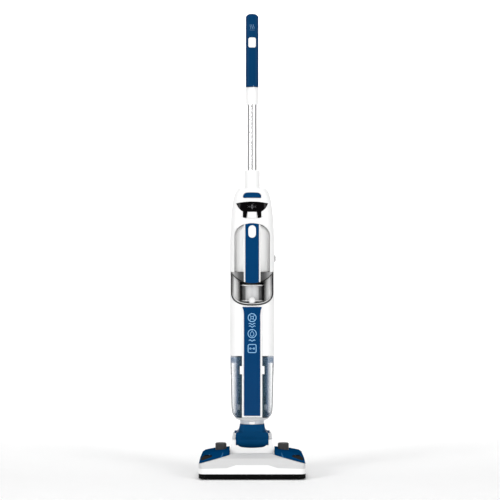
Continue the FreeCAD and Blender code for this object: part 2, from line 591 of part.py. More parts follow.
# control circuit board behind the suction unit
pcb = box(-30.0, 30.0, 38.4, 40.0, 500.0, 585.0)
for (x, z, w, h, t) in ((-14, 520, 16, 20, 1.6), (12, 525, 12, 14, 1.2), (-10, 560, 20, 12, 1.4)):
    pcb = pcb.fuse(box(x - w / 2, x + w / 2, 38.4 - t + 0.0, 38.5, z - h / 2, z + h / 2))
pcb = pcb.fuse(box(-26, -22, 39.9, 49.0, 530, 534)).fuse(box(22, 26, 39.9, 49.0, 530, 534))
pcb = pcb.cut(loft(body_sections(WALL, BODY_Z0 + WALL, BODY_Z1 - WALL)).common(box(-80, 80, 49.2, 80, 400, 700)))
keep("circuit_board", pcb)

# cord gland at the back
gl = cyl(0, 46.0, 600.0, 6.0, 20.0, (0, 1, 0)).fuse(cyl(0, 45.6, 600.0, 9.0, 3.6, (0, 1, 0)))
for i in range(4):
    yy = 54.6 + i * 3.2
    gl = gl.cut(cyl(0, yy, 600.0, 9.0, 1.2, (0, 1, 0)).cut(cyl(0, yy, 600.0, 4.8, 1.2, (0, 1, 0))))
gl = gl.cut(cyl(0, 40.0, 600.0, 3.4, 40.0, (0, 1, 0)))
gl = gl.cut(cyl(0, 40.0, 600.0, 12.0, 10.0, (0, 1, 0)).cut(body_in).cut(cyl(0, 40.0, 600.0, 6.05, 10.0, (0, 1, 0))))
keep("cord_gland", gl)

# six body screws from the back
sc = []
for x, z in screw_at:
    s = cyl(x, 36.0, z, 1.6, 14.5, (0, 1, 0)).fuse(cyl(x, 50.3, z, 1.9, 1.2, (0, 1, 0)))
    s = s.cut(box(x - 1.4, x + 1.4, 51.1, 52.0, z - 0.3, z + 0.3)).cut(box(x - 0.3, x + 0.3, 51.1, 52.0, z - 1.4, z + 1.4))
    sc.append(s)
keep("body_screws", *sc)

# rocker switch on the right flank, turning about a pin along Y
rk = cyl(53.0, -6.4, 550.0, 6.4, 12.8, (0, 1, 0))
rk = rk.common(box(45.0, 60.0, -10.0, 10.0, 536.0, 564.0))
rk_face = Part.Face(Part.Wire([
    line((50.0, -6.4, 537.6), (50.0, -6.4, 562.4)),
    Part.Arc(V(50.0, -6.4, 562.4), V(57.6, -6.4, 558.6), V(59.4, -6.4, 550.0)).toShape(),
    Part.Arc(V(59.4, -6.4, 550.0), V(57.6, -6.4, 541.4), V(50.0, -6.4, 537.6)).toShape(),
]))
keep("power_rocker", rk_face.extrude(V(0, 12.8, 0)))

# swivelling upper cable hook at the back
hk = cyl(0, 44.4, 690.0, 4.0, 10.6, (0, 1, 0)).fuse(cyl(0, 52.0, 690.0, 9.0, 4.0, (0, 1, 0)))
hk = hk.fuse(box(-6.0, 6.0, 52.0, 76.0, 688.0, 692.0)).fuse(box(-10.0, 10.0, 72.0, 76.0, 688.0, 716.0))
hk = fillet(hk, 1.2, lambda e: mid(e).y > 71 and e.Length > 15)
keep("upper_cable_hook", hk)

# tube socket: bore for the tube, foot inside the shoulder
so = cyl(0, 0, 716.0, 18.6, 12.0).fuse(Part.makeCone(SOCKET_R + 1.6, SOCKET_R, 6.0, V(0, 0, 727.2))).fuse(cyl(0, 0, 733.0, SOCKET_R, SOCKET_TOP - 733.0))
so = so.cut(cyl(0, 0, 740.0, TUBE_R + 0.3, 60.0))
so = so.cut(cyl(0, 0, 700.0, 8.0, 60.0))
so = fillet(so, 1.6, lambda e: mid(e).z > SOCKET_TOP - 0.1 and e.BoundBox.XLength > 30)
keep("tube_socket", so)

# ================================================================ handle
tube = cyl(0, 0, TUBE_Z0, TUBE_R, TUBE_Z1 - TUBE_Z0).cut(cyl(0, 0, 700.0, TUBE_R - 1.2, 400.0))
keep("handle_tube", tube)
col = cyl(0, 0, COLLAR_Z0, COLLAR_R, COLLAR_Z1 - COLLAR_Z0).cut(cyl(0, 0, 900.0, TUBE_R + 0.02, 100.0))
keep("tube_collar", fillet(col, 1.4, lambda e: e.BoundBox.XLength > 30))
grip = rr_prism(-GRIP_HW, GRIP_HW, -GRIP_HD, GRIP_HD, 9.0, GRIP_Z0, GRIP_Z1)
grip = fillet(grip, 7.0, lambda e: mid(e).z > GRIP_Z1 - 0.1)
grip = fillet(grip, 2.0, lambda e: mid(e).z < GRIP_Z0 + 0.1)
crown = box(-30, 30, -40, 40, 900.0, GRIP_Z1 - 12.0).fuse(cyl(0, -40.0, GRIP_Z1 - 20.0, 20.0, 80.0, (0, 1, 0)))
grip = grip.common(crown)
gin = rr_prism(-GRIP_HW + 2.4, GRIP_HW - 2.4, -GRIP_HD + 2.4, GRIP_HD - 2.4, 7.0, GRIP_Z0 + 22.0, GRIP_Z1 - 3.0)
gin = fillet(gin, 5.0, lambda e: mid(e).z > GRIP_Z1 - 3.1)
gin = gin.common(box(-30, 30, -40, 40, 900.0, GRIP_Z1 - 13.0).fuse(cyl(0, -40.0, GRIP_Z1 - 20.0, 17.0, 80.0, (0, 1, 0))))
grip = grip.cut(gin).cut(cyl(0, 0, GRIP_Z0 - 10, TUBE_R + 0.02, 60.0))
def soft_rect(hx, z0, z1, r, y0, y1):
    """Prism along Y whose XZ face is a rectangle with round corners."""
    t = box(-hx + r, hx - r, y0, y1, z0, z1).fuse(box(-hx, hx, y0, y1, z0 + r, z1 - r))
    for cx in (-hx + r, hx - r):
        for cz in (z0 + r, z1 - r):
            t = t.fuse(cyl(cx, y0, cz, r, y1 - y0, (0, 1, 0)))
    return t.removeSplitter()


gb_hole = soft_rect(9.9, 1083.9, 1109.9, 5.2, -30.0, -8.0)
keep("grip_front", grip.common(box(-30, 30, -40, 0.0, 900, 1200)).cut(gb_hole))
keep("grip_back", grip.common(box(-30, 30, 0.0, 40, 900, 1200)))
gb = fillet(soft_rect(9.5, 1084.3, 1109.5, 4.8, -21.0, -12.4), 1.2, lambda e: mid(e).y < -20.9)
keep("grip_button", gb)

# ================================================================ suction unit
mh = unit_block(0.0, -48.0, UNIT_YB, 517.2)
# convex front
mh_round = rr_prism(-UNIT_HW - 1, UNIT_HW + 1, UNIT_YF, UNIT_YB + 0.0, 8.0, 510.0, 640.0)
mh = mh.common(mh_round)
mh_in = unit_block(-2.2, -60.0, UNIT_YB - 2.2, 519.4).common(rr_prism(-UNIT_HW + 1.2, UNIT_HW - 1.2, UNIT_YF + 2.2, UNIT_YB - 2.2, 6.0, 500.0, 640.0))
mh = mh.cut(mh_in)
mh = mh.cut(cyl(0, -2.0, 510.0, 14.0, 15.0))
keep("motor_housing", mh)

# container collar: dark block over the arc, with the inlet hole
arc_cyl = cyl(0, -120.0, ARC_CZ, ARC_R, 240.0, (0, 1, 0))
co = rr_prism(-51.6, 51.6, -50.0, UNIT_YB, 24.0, 480.0, 516.8).common(arc_cyl)
co = co.cut(cyl(0, -2.0, 480.0, 14.0, 40.0))
keep("container_collar", co)
# seal: thin curved gasket under the collar
se = cyl(0, -120.0, ARC_CZ, ARC_R + 2.2, 240.0, (0, 1, 0)).cut(cyl(0, -120.0, ARC_CZ, ARC_R, 240.0, (0, 1, 0)))
se = se.common(rr_prism(-49.6, 49.6, -52.0, UNIT_YB - 1.0, 24.0, 470.0, 512.0))
se = se.cut(rr_prism(-40.0, 40.0, -44.0, UNIT_YB - 9.0, 18.0, 470.0, 520.0))
keep("container_seal", se)

# dust cup
cb = cup_block(0.0, -70.0, 70.0, 512.0).common(rr_prism(-CUP_HW - 1, CUP_HW + 1, -56.0, UNIT_YB - 0.5, 30.0, 420.0, 520.0))
seat = cyl(0, -120.0, ARC_CZ, ARC_R + 2.2 + GAP, 240.0, (0, 1, 0)).fuse(box(-60, 60, -100, 100, 500.0, 560.0).common(cyl(0, -120.0, ARC_CZ, ARC_R + 2.6, 240.0, (0, 1, 0))))
ci = cup_block(-2.2, -70.0, 70.0, 530.0).common(rr_prism(-CUP_HW + 1.2, CUP_HW - 1.2, -53.8, UNIT_YB - 2.7, 27.8, 420.0, 530.0))
cup = cb.cut(ci).cut(seat)
keep("dust_cup", cup)
fl = cyl(0, -10.0, 440.6, 31.0, 44.0).cut(cyl(0, -10.0, 443.6, 26.0, 60.0))
fl = fl.cut(box(-60, 60, -60, 60, 420, 443).cut(cup_block(-2.4, -70.0, 70.0, 530.0)))
fl = fl.cut(seat)
keep("dust_filter", fl)

# handle bar: C-shaped back piece with a blue front strip
hb = rr_prism(-RIM_HW, RIM_HW, BAR_YF + 3.0, UNIT_YF + 6.0, 2.0, BAR_Z0, BAR_Z1 - 0.4)
hb = hb.cut(box(-30, 30, -66.0, 0.0, 517.4, 618.0))
hb = hb.cut(box(-30, 30, -50.0, 0.0, 480.0, 517.4)).cut(unit_block(0.0, UNIT_YF - 8.0, UNIT_YB, 516.8).common(mh_round))
hb = hb.cut(box(-30, 30, -53.6, 0.0, 631.0, 660.0))
hb = hb.cut(cyl(0, -120.0, ARC_CZ, ARC_R + 0.2, 70.4, (0, 1, 0)).common(box(-60, 60, -50.0, 60, 400, 516.9)))
# convex lower end, following the arc
low = cyl(0, -120.0, ARC_CZ + 1.2, ARC_R + 0.2, 240.0, (0, 1, 0)).fuse(box(-60, 60, -120, 60, 520, 700))
hb = hb.common(low)
# slightly arched upper end
arch = cyl(0, -120.0, BAR_Z1 - 60.0, 60.0, 240.0, (0, 1, 0)).fuse(box(-60, 60, -120, 60, 480, BAR_Z1 - 30.0))
hb = hb.common(arch)
front_strip = rr_prism(-BAR_HW, BAR_HW, BAR_YF, BAR_YF + 5.0, 2.0, BAR_Z0 + 0.0, BAR_Z1).common(low).common(arch)
hb = hb.cut(box(-BAR_HW, BAR_HW, BAR_YF - 5, BAR_YF + 5.0, 480.0, BAR_Z1 + 1))
def stadium(cz, r, hz, y0, y1):
    """Upright pill-shaped prism."""
    st = box(-r, r, y0, y1, cz - hz + r, cz + hz - r)
    st = st.fuse(cyl(0, y0, cz - hz + r, r, y1 - y0, (0, 1, 0))).fuse(cyl(0, y0, cz + hz - r, r, y1 - y0, (0, 1, 0)))
    return st.removeSplitter()


ub_hole = stadium(618.1, 9.9, 15.9, BAR_YF - 5.0, BAR_YF + 10.6)
hb = hb.cut(ub_hole)
front_strip = front_strip.cut(ub_hole)
front_strip = fillet(front_strip, 1.2, lambda e: mid(e).y < BAR_YF + 0.1 and e.Length > 60)
keep("handle_bar_back", hb)
keep("handle_bar", front_strip)
ub = stadium(618.1, 9.4, 15.4, BAR_YF - 1.0, BAR_YF + 7.4)
keep("unit_button", fillet(ub, 0.9, lambda e: mid(e).y < BAR_YF - 0.9))

# motor with its fan below
mo = cyl(0, -3.0, 552.0, 30.0, 46.0).fuse(cyl(0, -3.0, 598.0, 12.0, 12.0)).fuse(cyl(0, -3.0, 546.0, 8.0, 6.0))
mo = mo.cut(cyl(0, -3.0, 540.0, 3.1, 40.0))
for s in (-1, 1):
    x0, x1 = (29.0, 41.7) if s > 0 else (-41.7, -29.0)
    mo = mo.fuse(box(x0, x1, -7.0, 1.0, 566.0, 574.0))
mo = mo.cut(unit_block(5, -80, 80, 500).cut(unit_block(-2.2, -60.0, UNIT_YB - 2.2, 500.0)))
keep("motor", mo)
im = cyl(0, -3.0, 524.0, 31.0, 2.0).fuse(cyl(0, -3.0, 524.0, 7.0, 16.0)).fuse(cyl(0, -3.0, 539.0, 3.0, 38.0))
for i in range(9):
    bl = box(5.0, 30.4, -0.8, 0.8, 525.0, 536.0)
    bl.rotate(V(5, 0, 0), V(0, 0, 1), 24)
    bl.rotate(V(0, 0, 0), V(0, 0, 1), i * 40)
    bl.translate(V(0, -3.0, 0))
    im = im.fuse(bl.common(cyl(0, -3.0, 520.0, 31.0, 30.0)))
keep("impeller", im)

# ================================================================ water tank
def tank_wires(d, z0, z1):
    def hw(z):
        t = max(0.0, min(1.0, (z - 182.0) / (300.0 - 182.0)))
        return TANK_HW_LOW + (TANK_HW_TOP - TANK_HW_LOW) * t
    s = []
    for z, cut in ((z0, 10.5), (z0 + 3.0, 6.6), (z0 + 8.0, 3.2), (z0 + 16.0, 0.9), (z0 + 28.0, 0.0), (220.0, 0.0), (260.0, 0.0), (z1, 0.0)):
        h = hw(z) - cut - d
        s.append((z, -h, h, TANK_YF + d + cut * 0.35, TANK_YB - d, 20.0 - d))
    return s


notch = rr_prism(-28.0, 28.0, -25.0, 40.0, 8.0, 100.0, 191.0)
tk = loft(tank_wires(0.0, TANK_Z0, 287.6)).cut(notch)
tin = loft(tank_wires(2.2, TANK_Z0 + 2.6, 292.0)).cut(rr_prism(-30.2, 30.2, -27.2, 40.0, 9.0, 100.0, 193.4))
tk = tk.cut(tin)
keep("water_tank", tk)
tl = rr_prism(-55.1, 55.1, TANK_YF, TANK_YB, 20.0, 287.8, TANK_Z1)
tl = tl.cut(rr_prism(-52.6, 52.6, TANK_YF + 2.5, TANK_YB - 2.5, 18.0, 280.0, 300.4))
tl = tl.cut(cyl(0, -16.0, 280.0, 15.5, 40.0)).fuse(cyl(0, -16.0, 294.0, 19.0, TANK_Z1 - 294.0).cut(cyl(0, -16.0, 280.0, 15.5, 40.0)))
keep("tank_lid", tl)
tc = cyl(0, -16.0, 292.0, 15.1, 11.0).fuse(box(-12.0, 12.0, -17.6, -14.4, 302.8, 304.8))
keep("tank_cap", tc)

# strip frame and strip in front of tank and panel
sf = rr_prism(-25.4, 25.4, -54.2, -52.3, 0.8, 151.6, 431.4)
sf = prism_xz([(-25.4, 151.6), (25.4, 151.6), (25.4, 412.0), (27.6, 424.0), (29.0, 431.4), (-29.0, 431.4), (-27.6, 424.0), (-25.4, 412.0)], -54.2, -52.3)
sf = sf.fuse(box(-24.0, 24.0, -53.0, -50.0, 190.0, 286.0))
for s in (-1, 1):
    x0, x1 = (25.0, 30.8) if s > 0 else (-30.8, -25.0)
    sf = sf.fuse(box(x0, x1, -54.0, -50.3, 260.4, 280.4))
ts_poly = [(-20.4, 155.9), (20.4, 155.9), (20.4, 410.0), (21.4, 420.0), (24.4, 429.2), (-24.4, 429.2), (-21.4, 420.0), (-20.4, 410.0)]
tstrip = prism_xz(ts_poly, -56.0, -54.2)
keep("tank_strip_frame", sf)
keep("tank_strip", tstrip)

# ---------------------------------------------------------------- write the files
for name in sorted(PARTS):
    shape = PARTS[name]
    ok = shape.isValid() and all(s.isValid() for s in shape.Solids)
    b = shape.BoundBox
    print("%-22s solids %d valid %s vol %9.1f  x %7.1f %7.1f y %7.1f %7.1f z %7.1f %7.1f" % (
        name, len(shape.Solids), ok, shape.Volume, b.XMin, b.XMax, b.YMin, b.YMax, b.ZMin, b.ZMax))
    shape.exportStep("parts/%s.step" % name)
print("pieces", len(PARTS))
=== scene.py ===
import bpy
import bmesh
import json
import math
from mathutils import Vector, Matrix


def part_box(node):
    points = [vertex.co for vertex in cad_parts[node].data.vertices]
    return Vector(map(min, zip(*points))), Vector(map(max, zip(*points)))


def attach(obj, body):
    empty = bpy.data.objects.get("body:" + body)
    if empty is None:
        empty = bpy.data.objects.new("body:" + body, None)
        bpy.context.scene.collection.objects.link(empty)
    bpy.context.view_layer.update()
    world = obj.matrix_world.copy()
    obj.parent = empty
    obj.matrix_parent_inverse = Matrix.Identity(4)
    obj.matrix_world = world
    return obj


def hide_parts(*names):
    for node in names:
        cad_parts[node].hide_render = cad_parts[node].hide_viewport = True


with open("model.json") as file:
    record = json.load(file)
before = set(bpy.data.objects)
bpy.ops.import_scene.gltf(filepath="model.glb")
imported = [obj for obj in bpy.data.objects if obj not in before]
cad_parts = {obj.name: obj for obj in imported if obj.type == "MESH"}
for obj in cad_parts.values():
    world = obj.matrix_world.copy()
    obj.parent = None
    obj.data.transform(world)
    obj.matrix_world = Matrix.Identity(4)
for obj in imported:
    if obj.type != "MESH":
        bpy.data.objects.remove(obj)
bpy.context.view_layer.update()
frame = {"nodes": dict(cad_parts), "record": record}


MM = 0.001
NODES = frame["nodes"]


# ------------------------------------------------------------------ materials
def new_mat(name):
    m = bpy.data.materials.new(name)
    m.use_nodes = True
    nt = m.node_tree
    nt.nodes.clear()
    out = nt.nodes.new("ShaderNodeOutputMaterial")
    bsdf = nt.nodes.new("ShaderNodeBsdfPrincipled")
    nt.links.new(bsdf.outputs[0], out.inputs[0])
    return m, nt, bsdf


def coords(nt, scale=(1, 1, 1)):
    tc = nt.nodes.new("ShaderNodeTexCoord")
    mp = nt.nodes.new("ShaderNodeMapping")
    mp.inputs["Scale"].default_value = scale
    nt.links.new(tc.outputs["Object"], mp.inputs["Vector"])
    return mp.outputs["Vector"]


def plastic(name, base, rough=0.3, vary=0.04, rough_vary=0.06, grain=0.0, grain_scale=900.0, spec=0.5, coat=0.0,
            coat_rough=0.05, wave=0.0):
    """Moulded plastic: faint flow variation in colour, roughness mottling and a fine skin texture."""
    m, nt, b = new_mat(name)
    v = coords(nt)
    n1 = nt.nodes.new("ShaderNodeTexNoise")
    n1.inputs["Scale"].default_value = 14.0
    n1.inputs["Detail"].default_value = 4.0
    nt.links.new(v, n1.inputs["Vector"])
    ramp = nt.nodes.new("ShaderNodeValToRGB")
    lo = [max(0.0, c * (1.0 - vary)) for c in base]
    hi = [min(1.0, c * (1.0 + vary)) for c in base]
    ramp.color_ramp.elements[0].position = 0.3
    ramp.color_ramp.elements[1].position = 0.7
    ramp.color_ramp.elements[0].color = (*lo, 1)
    ramp.color_ramp.elements[1].color = (*hi, 1)
    nt.links.new(n1.outputs["Fac"], ramp.inputs["Fac"])
    nt.links.new(ramp.outputs["Color"], b.inputs["Base Color"])
    n2 = nt.nodes.new("ShaderNodeTexNoise")
    n2.inputs["Scale"].default_value = 120.0
    n2.inputs["Detail"].default_value = 5.0
    nt.links.new(v, n2.inputs["Vector"])
    mr = nt.nodes.new("ShaderNodeMapRange")
    mr.inputs["To Min"].default_value = max(0.02, rough - rough_vary)
    mr.inputs["To Max"].default_value = min(1.0, rough + rough_vary)
    nt.links.new(n2.outputs["Fac"], mr.inputs["Value"])
    nt.links.new(mr.outputs["Result"], b.inputs["Roughness"])
    b.inputs["Specular IOR Level"].default_value = spec
    b.inputs["Coat Weight"].default_value = coat
    b.inputs["Coat Roughness"].default_value = coat_rough
    if grain > 0:
        n3 = nt.nodes.new("ShaderNodeTexNoise")
        n3.inputs["Scale"].default_value = grain_scale
        n3.inputs["Detail"].default_value = 3.0
        nt.links.new(v, n3.inputs["Vector"])
        bump = nt.nodes.new("ShaderNodeBump")
        bump.inputs["Strength"].default_value = grain
        bump.inputs["Distance"].default_value = 0.0004
        nt.links.new(n3.outputs["Fac"], bump.inputs["Height"])
        nt.links.new(bump.outputs["Normal"], b.inputs["Normal"])
    return m


def metal(name, base, rough=0.2, stretch=(1, 1, 1), bump=0.05, scale=600.0, rough_vary=0.05):
    m, nt, b = new_mat(name)
    v = coords(nt, stretch)
    n1 = nt.nodes.new("ShaderNodeTexNoise")
    n1.inputs["Scale"].default_value = scale
    n1.inputs["Detail"].default_value = 4.0
    nt.links.new(v, n1.inputs["Vector"])
    mr = nt.nodes.new("ShaderNodeMapRange")
    mr.inputs["To Min"].default_value = max(0.02, rough - rough_vary)
    mr.inputs["To Max"].default_value = rough + rough_vary
    nt.links.new(n1.outputs["Fac"], mr.inputs["Value"])
    nt.links.new(mr.outputs["Result"], b.inputs["Roughness"])
    ramp = nt.nodes.new("ShaderNodeValToRGB")
    ramp.color_ramp.elements[0].color = (*[c * 0.93 for c in base], 1)
    ramp.color_ramp.elements[1].color = (*[min(1, c * 1.05) for c in base], 1)
    nt.links.new(n1.outputs["Fac"], ramp.inputs["Fac"])
    nt.links.new(ramp.outputs["Color"], b.inputs["Base Color"])
    b.inputs["Metallic"].default_value = 1.0
    bp = nt.nodes.new("ShaderNodeBump")
    bp.inputs["Strength"].default_value = bump
    bp.inputs["Distance"].default_value = 0.0002
    nt.links.new(n1.outputs["Fac"], bp.inputs["Height"])
    nt.links.new(bp.outputs["Normal"], b.inputs["Normal"])
    return m


def clear(name, tint, face=0.05, edge=0.7, rough=0.04, start=0.45, spec=0.6, bands=None):
    """Thin clear moulding: see-through where it faces the eye, denser where the wall is seen edge-on.
    bands: (distance from the middle in metres, opacity, colour) for a tint that deepens towards the middle; on the tank
    it is painted shade, with a pale painted highlight band and a dark painted edge line near the sides."""
    m, nt, b = new_mat(name)
    v = coords(nt)
    n1 = nt.nodes.new("ShaderNodeTexNoise")
    n1.inputs["Scale"].default_value = 9.0
    n1.inputs["Detail"].default_value = 3.0
    nt.links.new(v, n1.inputs["Vector"])
    if bands is None:
        ramp = nt.nodes.new("ShaderNodeValToRGB")
        ramp.color_ramp.elements[0].color = (*[c * 0.94 for c in tint], 1)
        ramp.color_ramp.elements[1].color = (*[min(1, c * 1.05) for c in tint], 1)
        nt.links.new(n1.outputs["Fac"], ramp.inputs["Fac"])
        nt.links.new(ramp.outputs["Color"], b.inputs["Base Color"])
        base_alpha = None
    else:
        tc = nt.nodes.new("ShaderNodeTexCoord")
        sep = nt.nodes.new("ShaderNodeSeparateXYZ")
        nt.links.new(tc.outputs["Object"], sep.inputs[0])
        ab = nt.nodes.new("ShaderNodeMath")
        ab.operation = "ABSOLUTE"
        nt.links.new(sep.outputs["X"], ab.inputs[0])
        lo, hi = bands[0][0], bands[-1][0]
        mr0 = nt.nodes.new("ShaderNodeMapRange")
        mr0.inputs["From Min"].default_value = lo
        mr0.inputs["From Max"].default_value = hi
        nt.links.new(ab.outputs[0], mr0.inputs["Value"])
        ramps = []
        for kind in (1, 2):
            rp = nt.nodes.new("ShaderNodeValToRGB")
            els = rp.color_ramp.elements
            for i, row in enumerate(bands):
                t = (row[0] - lo) / (hi - lo)
                e = els[i] if i < 2 else els.new(t)
                e.position = t
                c = (row[1],) * 3 if kind == 1 else row[2]
                e.color = (*c, 1)
            nt.links.new(mr0.outputs["Result"], rp.inputs["Fac"])
            ramps.append(rp)
        nt.links.new(ramps[1].outputs["Color"], b.inputs["Base Color"])
        base_alpha = ramps[0].outputs["Color"]
    n2 = nt.nodes.new("ShaderNodeTexNoise")
    n2.inputs["Scale"].default_value = 60.0
    nt.links.new(v, n2.inputs["Vector"])
    mr = nt.nodes.new("ShaderNodeMapRange")
    mr.inputs["To Min"].default_value = max(0.0, rough - 0.02)
    mr.inputs["To Max"].default_value = rough + 0.02
    nt.links.new(n2.outputs["Fac"], mr.inputs["Value"])
    nt.links.new(mr.outputs["Result"], b.inputs["Roughness"])
    lw = nt.nodes.new("ShaderNodeLayerWeight")
    lw.inputs["Blend"].default_value = 0.5
    al = nt.nodes.new("ShaderNodeMapRange")
    al.inputs["From Min"].default_value = start
    al.inputs["From Max"].default_value = 0.92
    al.inputs["To Min"].default_value = face
    al.inputs["To Max"].default_value = edge
    nt.links.new(lw.outputs["Facing"], al.inputs["Value"])
    if base_alpha is None:
        nt.links.new(al.outputs["Result"], b.inputs["Alpha"])
    else:
        mx = nt.nodes.new("ShaderNodeMath")
        mx.operation = "MAXIMUM"
        nt.links.new(al.outputs["Result"], mx.inputs[0])
        nt.links.new(base_alpha, mx.inputs[1])
        nt.links.new(mx.outputs[0], b.inputs["Alpha"])
    b.inputs["Specular IOR Level"].default_value = spec
    return m


def banded(name, stops, axis="X", rough=0.3, spec=0.5, absolute=True, coat=0.0, metallic=0.0):
    """Colour in soft bands across the piece, in the piece's own coordinates (metres); used here to paint shade and
    reflections into the colour.
    """
    m, nt, b = new_mat(name)
    tc = nt.nodes.new("ShaderNodeTexCoord")
    sep = nt.nodes.new("ShaderNodeSeparateXYZ")
    nt.links.new(tc.outputs["Object"], sep.inputs[0])
    src = sep.outputs[axis]
    if absolute:
        ab = nt.nodes.new("ShaderNodeMath")
        ab.operation = "ABSOLUTE"
        nt.links.new(src, ab.inputs[0])
        src = ab.outputs[0]
    lo, hi = stops[0][0], stops[-1][0]
    mr = nt.nodes.new("ShaderNodeMapRange")
    mr.inputs["From Min"].default_value = lo
    mr.inputs["From Max"].default_value = hi
    nt.links.new(src, mr.inputs["Value"])
    n = nt.nodes.new("ShaderNodeTexNoise")
    n.inputs["Scale"].default_value = 40.0
    nt.links.new(tc.outputs["Object"], n.inputs["Vector"])
    jig = nt.nodes.new("ShaderNodeMath")
    jig.operation = "MULTIPLY_ADD"
    jig.inputs[1].default_value = 0.03
    nt.links.new(n.outputs["Fac"], jig.inputs[0])
    nt.links.new(mr.outputs["Result"], jig.inputs[2])
    ramp = nt.nodes.new("ShaderNodeValToRGB")
    els = ramp.color_ramp.elements
    for i, (p, c) in enumerate(stops):
        t = (p - lo) / (hi - lo)
        e = els[i] if i < 2 else els.new(t)
        e.position = t
        e.color = (*c, 1)
    nt.links.new(jig.outputs[0], ramp.inputs["Fac"])
    nt.links.new(ramp.outputs["Color"], b.inputs["Base Color"])
    rr = nt.nodes.new("ShaderNodeMapRange")
    rr.inputs["To Min"].default_value = max(0.02, rough - 0.05)
    rr.inputs["To Max"].default_value = rough + 0.05
    n2 = nt.nodes.new("ShaderNodeTexNoise")
    n2.inputs["Scale"].default_value = 160.0
    nt.links.new(tc.outputs["Object"], n2.inputs["Vector"])
    nt.links.new(n2.outputs["Fac"], rr.inputs["Value"])
    nt.links.new(rr.outputs["Result"], b.inputs["Roughness"])
    b.inputs["Specular IOR Level"].default_value = spec
    b.inputs["Coat Weight"].default_value = coat
    b.inputs["Metallic"].default_value = metallic
    return m


